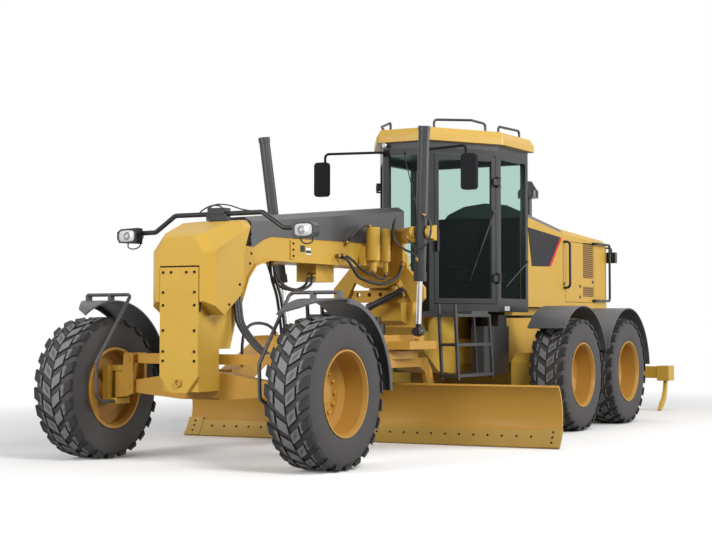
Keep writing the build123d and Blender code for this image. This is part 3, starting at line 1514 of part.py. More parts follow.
def hood_loft(inset, mode):
    """Add or cut the hood's body, drawn smaller by an inset."""
    faces = []
    for index, (distance, edge, crown) in enumerate(HOOD_SECTIONS):
        shift = inset * (1, 0, -1)[index]
        plane = Plane(origin=(aft(distance + shift), 0, 0), x_dir=(0, 1, 0), z_dir=(1, 0, 0))
        half = HOOD_HALF - inset
        outline = [
            (-half, HOOD_LOW - inset),
            (half, HOOD_LOW - inset),
            (half, edge - 60 - inset),
            (half - 50, edge - inset),
            (half - 270, edge + 0.75 * crown - inset),
            (0, edge + crown - inset),
            (270 - half, edge + 0.75 * crown - inset),
            (50 - half, edge - inset),
            (-half, edge - 60 - inset),
        ]
        faces.append(section(outline, plane).face())
    loft(faces, ruled=True, mode=mode)


def top_region(grow):
    """Return the side outline of the hood's black top section."""
    return outline_x(
        [
            (5700, 2500 - grow),
            (TOP_PANEL_REAR + grow, 2355 - grow),
            (TOP_PANEL_REAR + grow, 2900),
            (5700, 2900),
        ]
    )


# Vents in the hood's sides: distance aft front and rear, z low and high
VENTS = [(7590.0, 7960.0, 1810.0, 2270.0), (7590.0, 7960.0, 1570.0, 1700.0)]
with BuildPart() as hood:
    hood_loft(0, Mode.ADD)
    hood_loft(HOOD_WALL, Mode.SUBTRACT)
    side_plate(top_region(RUNNING), -700, 700, mode=Mode.SUBTRACT)
    for front, rear, low, high in VENTS:
        block(aft(rear), aft(front), -700, 700, low, high, mode=Mode.SUBTRACT)
    block(aft(8500), aft(8400), -430, 430, 1500, 2230, mode=Mode.SUBTRACT)
finish(hood.part, "hood")

with BuildPart() as hood_top:
    hood_loft(0, Mode.ADD)
    hood_loft(HOOD_WALL, Mode.SUBTRACT)
    side_plate(top_region(0), -700, 700, mode=Mode.INTERSECT)
    # Air intake and its cap
    rod((aft(INTAKE_X), INTAKE_Y, INTAKE_FOOT), (aft(INTAKE_X), INTAKE_Y, DOME_LOW + 10), 48)
    with Locations((aft(INTAKE_X), INTAKE_Y, DOME_LOW + 45)):
        Cylinder(DOME_RADIUS, 90)
    with Locations((aft(INTAKE_X), INTAKE_Y, DOME_LOW + 90 + 60)):
        Cone(DOME_RADIUS - 8, 50, 120)
finish(hood_top.part, "hood_top")

with BuildPart() as hood_grilles:
    for front, rear, low, high in VENTS:
        for side in (-1, 1):
            y_low, y_high = sorted((side * (HOOD_HALF - HOOD_WALL), side * (HOOD_HALF - 8)))
            block(
                aft(rear - RUNNING), aft(front + RUNNING), y_low, y_high, low + RUNNING, high - RUNNING
            )
    block(aft(8448), aft(8428), -430 + RUNNING, 430 - RUNNING, 1500 + RUNNING, 2230 - RUNNING)
    for slot in range(7):
        block(aft(8460), aft(8440), -370, 370, 1560 + slot * 92, 1610 + slot * 92, mode=Mode.SUBTRACT)
finish(hood_grilles.part, "hood_grilles")

# Black side panels with their coloured edge
PANEL_SHEET = 6.0
with BuildPart() as side_panels:
    for side in (-1, 1):
        y_low, y_high = sorted((side * (HOOD_HALF + RUNNING), side * (HOOD_HALF + PANEL_SHEET)))
        side_plate(outline_x([(5790, 2368), (6862, 2296), (6500, 1924), (5908, 1909)]), y_low, y_high)
finish(side_panels.part, "side_panels")

# Grab rails: on the hood's sides, round its rear corners and on its top
GRAB = 16.0
with BuildPart() as hood_fittings:
    for side in (-1, 1):
        wall = side * (HOOD_HALF + RUNNING + 0.1)
        off = side * (HOOD_HALF + 85)
        pipe([(aft(6930), wall, 2250), (aft(6930), off, 2250), (aft(6930), off, 1670), (aft(6930), wall, 1670)], GRAB, 50)
        corner = side * (HOOD_HALF + 60)
        pipe(
            [
                (aft(7930), wall, 2270),
                (aft(7930), corner, 2270),
                (aft(8420), corner, 2270),
                (aft(8420), corner, 1520),
                (aft(7930), corner, 1520),
                (aft(7930), wall, 1520),
            ],
            GRAB,
            40,
        )

    # Rear lamps on short arms
    for side in (-1, 1):
        block(aft(8600), aft(8520), *sorted((side * 520, side * 650)), 2035, 2180)
        pipe(
            [(aft(8450 + RUNNING + 0.1), side * 470, 2240), (aft(8560), side * 470, 2240), (aft(8560), side * 585, 2240),
             (aft(8560), side * 585, 2170)],
            12,
            30,
        )
finish(hood_fittings.part, "hood_fittings")

# Engine as one plain block between the rails, and the air intake on the hood
with BuildPart() as engine:
    block(aft(7250), aft(5950), -280, 280, ENGINE_SEAT_Z + RUNNING, 1900)
finish(engine.part, "engine")

# Ripper: lower arms, upper links and the beam with three shanks
BEAM_PIN_X = RIPPER_PIN_X + RIPPER_REACH


def link_pair(pin_z, depth, tie):
    """Add two parallel arms between the frame's pins and the ripper beam's pins."""
    for side in (-1, 1):
        y_low, y_high = sorted((side * ARM_INNER, side * ARM_OUTER))
        side_plate(
            outline_x(
                [
                    (RIPPER_PIN_X, pin_z - depth),
                    (BEAM_PIN_X, pin_z - RIPPER_DROP - depth),
                    (BEAM_PIN_X, pin_z - RIPPER_DROP + depth),
                    (RIPPER_PIN_X, pin_z + depth),
                ]
            ),
            y_low,
            y_high,
        )
        for eye_x, eye_z in ((RIPPER_PIN_X, pin_z), (BEAM_PIN_X, pin_z - RIPPER_DROP)):
            rod((aft(eye_x), y_low, eye_z), (aft(eye_x), y_high, eye_z), depth)
            rod((aft(eye_x), y_low - 1, eye_z), (aft(eye_x), y_high + 1, eye_z), RIPPER_PIN + RUNNING, mode=Mode.SUBTRACT)
    middle_x = RIPPER_PIN_X + tie * RIPPER_REACH
    middle_z = pin_z - tie * RIPPER_DROP
    rod((aft(middle_x), -ARM_INNER - 5, middle_z), (aft(middle_x), ARM_INNER + 5, middle_z), 38)


with BuildPart() as ripper_arms:
    link_pair(RIPPER_PIN_Z, 60, 0.5)
finish(ripper_arms.part, "ripper_arms")

with BuildPart() as ripper_links:
    link_pair(LINK_PIN_Z, 48, 0.35)
finish(ripper_links.part, "ripper_links")

SHANK_Y = 900.0
SHANK = [
    (9905, 430),
    (9830, 430),
    (9800, 300),
    (9740, 190),
    (9640, 110),
    (9560, 20),
    (9600, 4),
    (9720, 60),
    (9830, 150),
    (9880, 270),
]
with BuildPart() as ripper_beam:
    block(aft(9925), aft(9775), -985, 985, 450, 615)
    for side in (-1, 1):
        y_low, y_high = sorted((side * (ARM_OUTER + 15), side * (ARM_OUTER + 55)))
        side_plate(
            outline_x([(9920, 450), (9920, 640), (9760, 950), (9640, 950), (9610, 880), (9610, 500), (9680, 450)]),
            y_low,
            y_high,
        )
        for pin_z in (RIPPER_PIN_Z - RIPPER_DROP, LINK_PIN_Z - RIPPER_DROP):
            rod(
                (aft(BEAM_PIN_X), side * (ARM_INNER - 10), pin_z),
                (aft(BEAM_PIN_X), side * (ARM_OUTER + 20), pin_z),
                RIPPER_PIN,
            )
    for shank_y in (-SHANK_Y, 0, SHANK_Y):
        block(aft(9990), aft(9740), shank_y - 85, shank_y + 85, 415, 625)
        side_plate(outline_x(SHANK), shank_y - 20, shank_y + 20)
finish(ripper_beam.part, "ripper_beam")
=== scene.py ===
"""Looks of the motor grader: finishes on the CAD pieces, tyre tread, hoses, bolts and a studio.

Every place is in metres in the machine's own coordinates: +X forward, +Y to its left, +Z up.
X places are given as distances behind the front axle, through aft().
"""

import logging
from dataclasses import dataclass
from enum import Enum
from math import cos, pi, radians, sin

import bpy
import numpy as np
from mathutils import Matrix, Vector


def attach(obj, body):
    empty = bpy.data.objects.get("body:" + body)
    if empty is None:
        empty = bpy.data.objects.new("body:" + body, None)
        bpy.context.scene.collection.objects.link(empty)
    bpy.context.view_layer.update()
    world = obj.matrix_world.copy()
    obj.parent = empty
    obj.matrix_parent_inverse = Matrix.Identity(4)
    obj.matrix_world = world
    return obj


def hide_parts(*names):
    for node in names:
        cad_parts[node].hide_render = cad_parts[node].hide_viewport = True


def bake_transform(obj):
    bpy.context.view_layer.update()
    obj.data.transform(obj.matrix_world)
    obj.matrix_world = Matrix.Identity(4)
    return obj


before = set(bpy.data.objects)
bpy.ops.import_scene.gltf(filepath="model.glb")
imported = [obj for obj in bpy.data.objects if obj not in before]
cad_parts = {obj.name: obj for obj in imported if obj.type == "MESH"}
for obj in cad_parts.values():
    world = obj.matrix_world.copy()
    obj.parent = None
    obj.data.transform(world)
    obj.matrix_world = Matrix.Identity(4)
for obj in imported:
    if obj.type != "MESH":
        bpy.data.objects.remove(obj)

Pair = tuple[float, float]
Triple = tuple[float, float, float]
Place = Triple | Vector
Socket = bpy.types.NodeSocket
LOG = logging.getLogger("motor_grader")
FRONT_AXLE_X = 4.700
WHEEL_Z = 0.640
TRACK_HALF = 1.210
SIDES = {"left": 1.0, "right": -1.0}
WHEEL_PLACES = {"front": 0.0, "middle": 5.360, "rear": 6.880}


def aft(distance: float) -> float:
    """Return the X place that lies a distance behind the front axle.

    Args:
        distance: Distance behind the front axle.

    Returns:
        The X place in the machine's coordinates.
    """
    return FRONT_AXLE_X - distance


class Shade(Enum):
    """Base colours, as linear red, green and blue."""

    YELLOW = (0.570, 0.350, 0.056)
    # The next colour is partly a deeper orange tone and partly painted shade, for the moldboard and the parts
    # low under the machine.
    DEEP_SHADED_YELLOW = (0.500, 0.270, 0.042)
    # Painted shade: a darker copy of the yellow paint, for the rims and the louvre slats in the hood's vents.
    SHADED_YELLOW = (0.430, 0.225, 0.040)
    BLACK = (0.014, 0.014, 0.016)
    COVER_GREY = (0.046, 0.046, 0.048)
    # The front and the rear fenders are one plastic in two greys, painted light and shade for how light falls
    # on each.
    FENDER = (0.052, 0.050, 0.053)
    REAR_FENDER = (0.090, 0.088, 0.092)
    DARK_GREY = (0.035, 0.035, 0.038)
    GROOVE = (0.012, 0.012, 0.012)
    TYRE = (0.068, 0.064, 0.064)
    TREAD = (0.180, 0.177, 0.175)
    CHROME = (0.750, 0.750, 0.760)
    STEEL = (0.420, 0.270, 0.060)
    CAST = (0.045, 0.045, 0.047)
    SEAT = (0.007, 0.007, 0.008)
    MESH = (0.110, 0.065, 0.022)
    LENS = (0.560, 0.570, 0.580)
    RED = (0.620, 0.030, 0.040)
    WHITE = (0.820, 0.820, 0.820)
    GLASS = (0.880, 0.962, 0.938)
    SKY = (1.000, 1.000, 1.000)
    COPPER = (0.300, 0.180, 0.060)

    def colour(self, share: float = 1.0) -> list[float]:
        """Return the shade times a share, with an alpha of 1."""
        return [part * share for part in self.value] + [1.0]


class NodeSheet:
    """The node tree of a material or a world, filled in with short calls."""

    def __init__(self, owner: bpy.types.Material | bpy.types.World) -> None:
        """Switch the owner's nodes on and take over its tree.

        Args:
            owner: The material or the world.
        """
        owner.use_nodes = True
        self.owner = owner
        self.tree = owner.node_tree

    def fill(self, node: bpy.types.Node, inputs: dict) -> bpy.types.Node:
        """Link every socket and set every plain value that is given for a node's inputs.

        Args:
            node: The node.
            inputs: For each input's name or number, a socket to link or a value to set.

        Returns:
            The same node.
        """
        for key, value in inputs.items():
            if isinstance(value, Socket):
                self.tree.links.new(value, node.inputs[key])
            else:
                node.inputs[key].default_value = value
        return node

    def add(self, kind: str, inputs: dict, operation: str = "") -> Socket:
        """Add a node.

        Args:
            kind: Its type, without the ShaderNode in front.
            inputs: What its inputs take, as in fill.
            operation: Its operation, where it has one.

        Returns:
            The node's first output that is in use.
        """
        node = self.tree.nodes.new(f"ShaderNode{kind}")
        if operation:
            node.operation = operation
        self.fill(node, inputs)
        return next(output for output in node.outputs if output.enabled)

    def place(self) -> Socket:
        """Return the place on the object, in the object's own coordinates."""
        return self.tree.nodes.new("ShaderNodeTexCoord").outputs["Object"]

    def noise(self, scale: float, detail: float = 2.0) -> Socket:
        """Return soft noise between 0 and 1, in the object's own coordinates."""
        return self.add("TexNoise", {"Vector": self.place(), "Scale": scale, "Detail": detail})

    def bump(self, height: Socket, **settings: float) -> Socket:
        """Return a normal that follows a height, with the bump's Strength and Distance as settings."""
        return self.add("Bump", {"Height": height} | settings)

    def tint(self, share: Socket, first: list | Socket, second: list) -> Socket:
        """Return a colour that goes from the first to the second as the share goes from 0 to 1."""
        node = self.tree.nodes.new("ShaderNodeMix")
        node.data_type = "RGBA"
        self.fill(node, {0: share, 6: first, 7: second})
        return node.outputs[2]

    def reach(self, centre: Place, weights: Place) -> Socket:
        """Return the distance from a centre, with each axis stretched by its weight."""
        offset = self.add("VectorMath", {0: self.place(), 1: centre}, "SUBTRACT")
        stretched = self.add("VectorMath", {0: offset, 1: weights}, "MULTIPLY")
        return self.add("VectorMath", {0: stretched}, "LENGTH")

    def paint(self, inputs: dict) -> bpy.types.Material:
        """Fill in the material's plain shader, and return the material."""
        self.fill(self.tree.nodes["Principled BSDF"], inputs)
        return self.owner

    def surface(self, shader: Socket) -> bpy.types.Material:
        """Show a shader on the material's surface, and return the material."""
        self.fill(self.tree.nodes["Material Output"], {"Surface": shader})
        return self.owner


@dataclass(frozen=True)
class Finish:
    """A procedural finish with a little wear in the object's own coordinates."""

    name: str
    shade: Shade
    roughness: float = 0.45
    metallic: float = 0.0
    coat: float = 0.0
    specular: float = 0.5
    dapple: float = 0.06
    dapple_scale: float = 3.0
    grain: float = 0.0
    grain_scale: float = 400.0

    def build(self) -> bpy.types.Material:
        """Build the finish's node material.

        Returns:
            The material, with a base colour that wanders slightly and a fine bump.
        """
        sheet = NodeSheet(bpy.data.materials.new(self.name))
        cloud = sheet.noise(self.dapple_scale, 5.0)
        darker, lighter = self.shade.colour(1.0 - self.dapple), self.shade.colour(1.0 + self.dapple)
        duller, glossier = self.roughness + 0.07, max(self.roughness - 0.05, 0.02)
        inputs = {
            "Metallic": self.metallic,
            "Coat Weight": self.coat,
            "Coat Roughness": 0.12,
            "Specular IOR Level": self.specular,
            "Base Color": sheet.tint(cloud, darker, lighter),
            "Roughness": sheet.add("MapRange", {"Value": cloud, "To Min": glossier, "To Max": duller}),
        }
        if self.grain:
            inputs["Normal"] = sheet.bump(sheet.noise(self.grain_scale), Strength=self.grain, Distance=0.002)
        return sheet.paint(inputs)


@dataclass(frozen=True)
class BandedFinish:
    """Paint whose colour changes at given heights, such as a yellow cap over a black band."""

    name: str
    foot: Shade
    bands: tuple[tuple[float, Shade], ...]
    roughness: float = 0.38
    metallic_above: float | None = None

    def build(self) -> bpy.types.Material:
        """Build the banded node material.

        Returns:
            A material that takes each band's colour above that band's height.
        """
        sheet = NodeSheet(bpy.data.materials.new(self.name))
        height = sheet.add("SeparateXYZ", {0: sheet.place()}).node.outputs["Z"]
        inputs = {"Roughness": self.roughness, "Normal": sheet.bump(sheet.noise(3.0), Strength=0.03)}
        colour = self.foot.colour()
        for foot, shade in self.bands:
            above = sheet.add("Math", {0: height, 1: foot}, "GREATER_THAN")
            colour = sheet.tint(above, colour, shade.colour())
            if self.metallic_above == foot:
                inputs["Metallic"] = above
        return sheet.paint(inputs | {"Base Color": colour})


@dataclass(frozen=True)
class TreadFinish:
    """Tread rubber: pale tops over dark flanks, told apart by distance from the axle."""

    name: str
    centre: Pair
    top: float

    def build(self) -> bpy.types.Material:
        """Build the tread's node material.

        Returns:
            A material that turns pale beyond a distance from the axle.
        """
        sheet = NodeSheet(bpy.data.materials.new(self.name))
        reach = sheet.reach((self.centre[0], 0.0, self.centre[1]), (1.0, 0.0, 1.0))
        low, high = self.top - 0.006, self.top - 0.002
        share = sheet.add("MapRange", {"Value": reach, "From Min": low, "From Max": high})
        colour = sheet.tint(share, Shade.GROOVE.colour(), Shade.TREAD.colour())
        return sheet.paint({"Roughness": 0.75, "Base Color": colour})


@dataclass(frozen=True)
class GlassFinish:
    """A thin tinted pane that lets the inside show through."""

    name: str
    shade: Shade
    clear: float = 0.92

    def build(self) -> bpy.types.Material:
        """Build the pane's node material.

        Returns:
            A material that mixes a tinted transparent shader with a thin dark film.
        """
        sheet = NodeSheet(bpy.data.materials.new(self.name))
        film = sheet.tint(sheet.noise(1.2), [0.05, 0.06, 0.06, 1.0], [0.08, 0.09, 0.09, 1.0])
        sheet.paint({"Base Color": film, "Roughness": 0.04, "Specular IOR Level": 0.0})
        through = sheet.add("BsdfTransparent", {"Color": self.shade.colour()})
        dark = sheet.tree.nodes["Principled BSDF"].outputs[0]
        return sheet.surface(sheet.add("MixShader", {0: 1.0 - self.clear, 1: through, 2: dark}))


@dataclass(frozen=True)
class SideBadgeFinish:
    """Black panel paint with a red band along its slanted rear edge."""

    name: str
    edge_top: Pair
    edge_foot: Pair
    width: float = 0.045

    def build(self) -> bpy.types.Material:
        """Build the panel's node material.

        Returns:
            A material whose colour turns red within a width of the line edge_top to edge_foot.
        """
        top, foot = (Vector((x, 0.0, z)) for x, z in (self.edge_top, self.edge_foot))
        along = (top - foot).normalized()
        sheet = NodeSheet(bpy.data.materials.new(self.name))
        # Distance ahead of the slanted edge: dot product with the edge's normal in the XZ plane
        offset = sheet.add("VectorMath", {0: sheet.place(), 1: foot}, "SUBTRACT")
        ahead = sheet.add("VectorMath", {0: offset, 1: Vector((along.z, 0.0, -along.x))}, "DOT_PRODUCT")
        band = sheet.add("Math", {0: ahead, 1: self.width}, "LESS_THAN")
        colour = sheet.tint(band, Shade.BLACK.colour(), Shade.RED.colour())
        return sheet.paint({"Base Color": colour, "Roughness": 0.40, "Specular IOR Level": 0.12})


class Palette:
    """The finishes, built once and looked up by name."""

    def __init__(self) -> None:
        """Build every finish."""
        treads = [
            TreadFinish(f"tread_{wheel}", (aft(distance), WHEEL_Z), Tyre.outer)
            for wheel, distance in WHEEL_PLACES.items()
        ]
        finishes = treads + [
            Finish("yellow_paint", Shade.YELLOW, 0.38, coat=0.04, specular=0.15, dapple=0.05, grain=0.05),
            Finish("deep_shaded_yellow_paint", Shade.DEEP_SHADED_YELLOW, 0.42, 0.0, 0.04, 0.25, 0.08, grain=0.05),
            Finish("shaded_yellow_paint", Shade.SHADED_YELLOW, 0.46, 0.0, 0.03, 0.25, 0.10, grain=0.06),
            Finish("dark_steel", Shade.DARK_GREY, 0.38, specular=0.4, dapple=0.15, grain=0.10),
            Finish("hose_rubber", Shade.GROOVE, 0.42, dapple=0.15, grain=0.10),
            Finish("hose_fitting", Shade.COPPER, 0.30, metallic=0.8, dapple=0.10),
            Finish("lamp_mirror", Shade.LENS, 0.08, metallic=0.6, dapple=0.30, dapple_scale=60.0),
            Finish("mirror_shell", Shade.BLACK, 0.60, specular=0.08, dapple=0.20, grain=0.10),
            Finish("black_paint", Shade.BLACK, 0.30, specular=0.35, dapple=0.20, grain=0.05),
            Finish("cover_grey", Shade.COVER_GREY, 0.42, dapple=0.10, grain=0.05),
            Finish("fender_plastic", Shade.FENDER, 0.40, dapple=0.10, grain=0.08),
            Finish("rear_fender_plastic", Shade.REAR_FENDER, 0.38, dapple=0.10, grain=0.08),
            Finish("tyre_rubber", Shade.TYRE, 0.72, specular=0.2, dapple=0.10, grain=0.20),
            Finish("groove_rubber", Shade.GROOVE, 0.80, specular=0.2, dapple=0.20, grain=0.20),
            Finish("hard_chrome", Shade.CHROME, 0.12, metallic=1.0, dapple=0.03),
            Finish("blade_steel", Shade.STEEL, 0.48, metallic=0.25, dapple=0.12, grain=0.10),
            Finish("cast_block", Shade.CAST, 0.70, dapple=0.15, grain=0.15),
            Finish("seat_fabric", Shade.SEAT, 0.90, specular=0.0, dapple=0.15),
            Finish("dark_mesh", Shade.MESH, 0.60, dapple=0.15, grain=0.60, grain_scale=250.0),
            Finish("lamp_lens", Shade.LENS, 0.15, coat=0.6, dapple=0.05, grain=0.20, grain_scale=120.0),
            Finish("white_mark", Shade.WHITE, 0.40, dapple=0.03),
            GlassFinish("window_glass", Shade.GLASS),
            BandedFinish("roof_paint", Shade.BLACK, ((3.204, Shade.YELLOW), (3.3515, Shade.BLACK))),
            BandedFinish("rod_finish", Shade.BLACK, ((1.215, Shade.CHROME),), 0.14, 1.215),
            SideBadgeFinish("side_panel_paint", (aft(6.862), 2.296), (aft(6.500), 1.924)),
        ]
        self._materials = {finish.name: finish.build() for finish in finishes}

    def paint(self, thing: bpy.types.Object, name: str) -> None:
        """Give an object one finish.

        Args:
            thing: The object to paint.
            name: The finish's name.
        """
        thing.data.materials.clear()
        thing.data.materials.append(self._materials[name])


# CAD nodes and the finish each one takes
NODE_FINISHES = {
    "yellow_paint": [
        "rear_frame", "front_frame", "nose_shroud", "hood", "ripper_arms", "ripper_links", "ripper_beam",
        "knuckle_left", "knuckle_right", "hydraulics", "saddle",
    ],
    # The moldboard, the axle, the drawbar and the circle take a deeper yellow that is partly painted shade.
    "deep_shaded_yellow_paint": [
        "moldboard", "front_axle", "lean_bar", "lean_bracket_left", "lean_bracket_right", "drawbar", "circle",
        "blade_bracket",
    ],
    # The rims take painted shade, a darker copy of the yellow paint.
    "shaded_yellow_paint": [f"rim_{wheel}_{side}" for wheel in WHEEL_PLACES for side in SIDES],
    "black_paint": [
        "hood_top", "hood_fittings", "cab_frame", "door_left", "door_right", "headlamps", "circle_motor",
    ],
    "mirror_shell": ["mirrors"],
    "dark_steel": ["tanks", "ladders", "lift_barrel_left", "lift_barrel_right"],
    "fender_plastic": ["fender_front_left", "fender_front_right"],
    "rear_fender_plastic": ["rear_fenders"],
    "cover_grey": ["beam_cover"],
    "hard_chrome": ["side_shift_rod"],
    "rod_finish": ["lift_rod_left", "lift_rod_right"],
    "roof_paint": ["cab_roof"],
    "blade_steel": ["cutting_edge"],
    "cast_block": ["engine"],
    "seat_fabric": ["cab_interior"],
    "dark_mesh": ["hood_grilles"],
    "side_panel_paint": ["side_panels"],
    "window_glass": ["cab_glass", "door_glass_left", "door_glass_right"],
    "tyre_rubber": [f"tyre_{wheel}_{side}" for wheel in WHEEL_PLACES for side in SIDES],
}


class Shell:
    """Collects vertices and faces of one mesh piece."""

    def __init__(self, name: str) -> None:
        """Start an empty piece.

        Args:
            name: The piece's name.
        """
        self.name = name
        self._points: list[np.ndarray] = []
        self._faces: list[tuple[int, ...]] = []
        self._count = 0

    def add(self, points: np.ndarray, faces: list[tuple[int, ...]]) -> None:
        """Add vertices and the faces between them.

        Args:
            points: Vertex places, one row each.
            faces: Faces as indices into points.
        """
        self._points.append(points)
        self._faces.extend(tuple(i + self._count for i in face) for face in faces)
        self._count += len(points)

    def grid(
        self, points: np.ndarray, wrap_u: bool = False, wrap_v: bool = False, caps: bool = False
    ) -> None:
        """Add a surface from a grid of places over two parameters u and v.

        Args:
            points: Places with shape (u, v, 3).
            wrap_u: Whether the last row joins the first.
            wrap_v: Whether the last column joins the first.
            caps: Whether the first and last row are closed with a face.
        """
        rows, columns = points.shape[:2]
        here = np.arange(rows * columns).reshape(rows, columns)
        next_row = np.roll(here, -1, axis=0)
        corners = [here, np.roll(here, -1, axis=1), np.roll(next_row, -1, axis=1), next_row]
        last_u, last_v = rows - (not wrap_u), columns - (not wrap_v)
        quads = np.stack(corners, axis=-1)[:last_u, :last_v]
        faces = [tuple(quad) for quad in quads.reshape(-1, 4).tolist()]
        if caps:
            faces.append(tuple(range(columns))[::-1])
            faces.append(tuple((rows - 1) * columns + v for v in range(columns)))
        self.add(points.reshape(-1, 3), faces)

    def tube(self, path: np.ndarray, radius: float, sides: int = 10) -> None:
        """Add a round tube along a path: each ring is centre + r (cos t * normal + sin t * binormal).

        Args:
            path: Places along the middle, one row each.
            radius: The tube's radius.
            sides: Number of flats around it.
        """
        tangents = np.gradient(path, axis=0)
        tangents /= np.linalg.norm(tangents, axis=1)[:, None]
        normal = np.cross(tangents[0], [0.0, 0.0, 1.0])
        if np.linalg.norm(normal) < 1e-3:
            normal = np.cross(tangents[0], [1.0, 0.0, 0.0])
        turn = np.linspace(0, 2 * pi, sides, endpoint=False)
        rings = []
        for centre, tangent in zip(path, tangents):
            normal = normal - tangent * (normal @ tangent)
            normal /= np.linalg.norm(normal)
            binormal = np.cross(tangent, normal)
            ring = np.cos(turn)[:, None] * normal + np.sin(turn)[:, None] * binormal
            rings.append(centre + radius * ring)
        self.grid(np.array(rings), wrap_v=True, caps=True)

    def disc(self, centre: Place, axis: Place, radius: float, height: float, sides: int = 6) -> None:
        """Add a short prism, such as a bolt head, that stands on a face.

        Args:
            centre: The foot's centre.
            axis: The way it stands.
            radius: Its corner radius.
            height: Its height.
            sides: Number of flats.
        """
        axis = Vector(axis).normalized()
        across = axis.orthogonal().normalized()
        other = axis.cross(across)
        rings = []
        for lift, share in ((0.0, 1.0), (height * 0.8, 1.0), (height, 0.85)):
            rings.append([
                list(Vector(centre) + axis * lift + (across * cos(t) + other * sin(t)) * radius * share)
                for t in np.linspace(0, 2 * pi, sides, endpoint=False)
            ])
        self.grid(np.array(rings), wrap_v=True, caps=True)

    def box(self, low: Triple, high: Triple) -> None:
        """Add a box between two corners.

        Args:
            low: The lowest corner.
            high: The highest corner.
        """
        corners = ((low[0], low[1]), (high[0], low[1]), (high[0], high[1]), (low[0], high[1]))
        rows = [[(x, y, z) for x, y in corners] for z in (low[2], high[2])]
        self.grid(np.array(rows), wrap_v=True, caps=True)

    def side_box(self, side: float, x: Pair, out: Pair, z: Pair) -> None:
        """Add a box on one side of the machine.

        Args:
            side: 1 for the left side, -1 for the right one.
            x: Its X places, the rear one first.
            out: Its faces' distances from the machine's middle.
            z: Its foot's and its top's height.
        """
        low, high = sorted((side * out[0], side * out[1]))
        self.box((x[0], low, z[0]), (x[1], high, z[1]))

    def make(self, palette: Palette, finish: str, smooth: bool = False) -> bpy.types.Object:
        """Turn the collected surface into a painted object.

        Args:
            palette: The finishes.
            finish: The finish's name.
            smooth: Whether faces are shaded smooth.

        Returns:
            The new object, at the origin.
        """
        mesh = bpy.data.meshes.new(self.name)
        points = np.concatenate(self._points)
        mesh.from_pydata(points.tolist(), [], self._faces)
        mesh.polygons.foreach_set("use_smooth", [smooth] * len(mesh.polygons))
        mesh.update()
        thing = bpy.data.objects.new(self.name, mesh)
        bpy.context.scene.collection.objects.link(thing)
        palette.paint(thing, finish)
        LOG.info("piece %s: %d faces", self.name, len(self._faces))
        return thing


def smooth_path(points: list[Triple], steps: int = 8) -> np.ndarray:
    """Return a smooth path through points: a Catmull-Rom curve, sampled evenly in each span.

    Args:
        points: Places the path goes through.
        steps: Samples in each span.

    Returns:
        Places along the path.
    """
    knots = np.array(points, float)
    padded = np.vstack([2 * knots[0] - knots[1], knots, 2 * knots[-1] - knots[-2]])
    before, first, last, after = padded[:-3], padded[1:-2], padded[2:-1], padded[3:]
    share = np.linspace(0, 1, steps, endpoint=False)[:, None, None]
    square = 2 * before - 5 * first + 4 * last - after
    cube = 3 * first - before - 3 * last + after
    spans = 0.5 * (2 * first + (last - before) * share + square * share**2 + cube * share**3)
    return np.vstack([spans.swapaxes(0, 1).reshape(-1, 3), knots[-1:]])


def straight(start: Place, end: Place, count: int = 9) -> np.ndarray:
    """Return places spaced evenly along a straight line.

    Args:
        start: The first place.
        end: The last place.
        count: Number of places.

    Returns:
        The places, one row each.
    """
    return np.linspace(np.array(start), np.array(end), count)


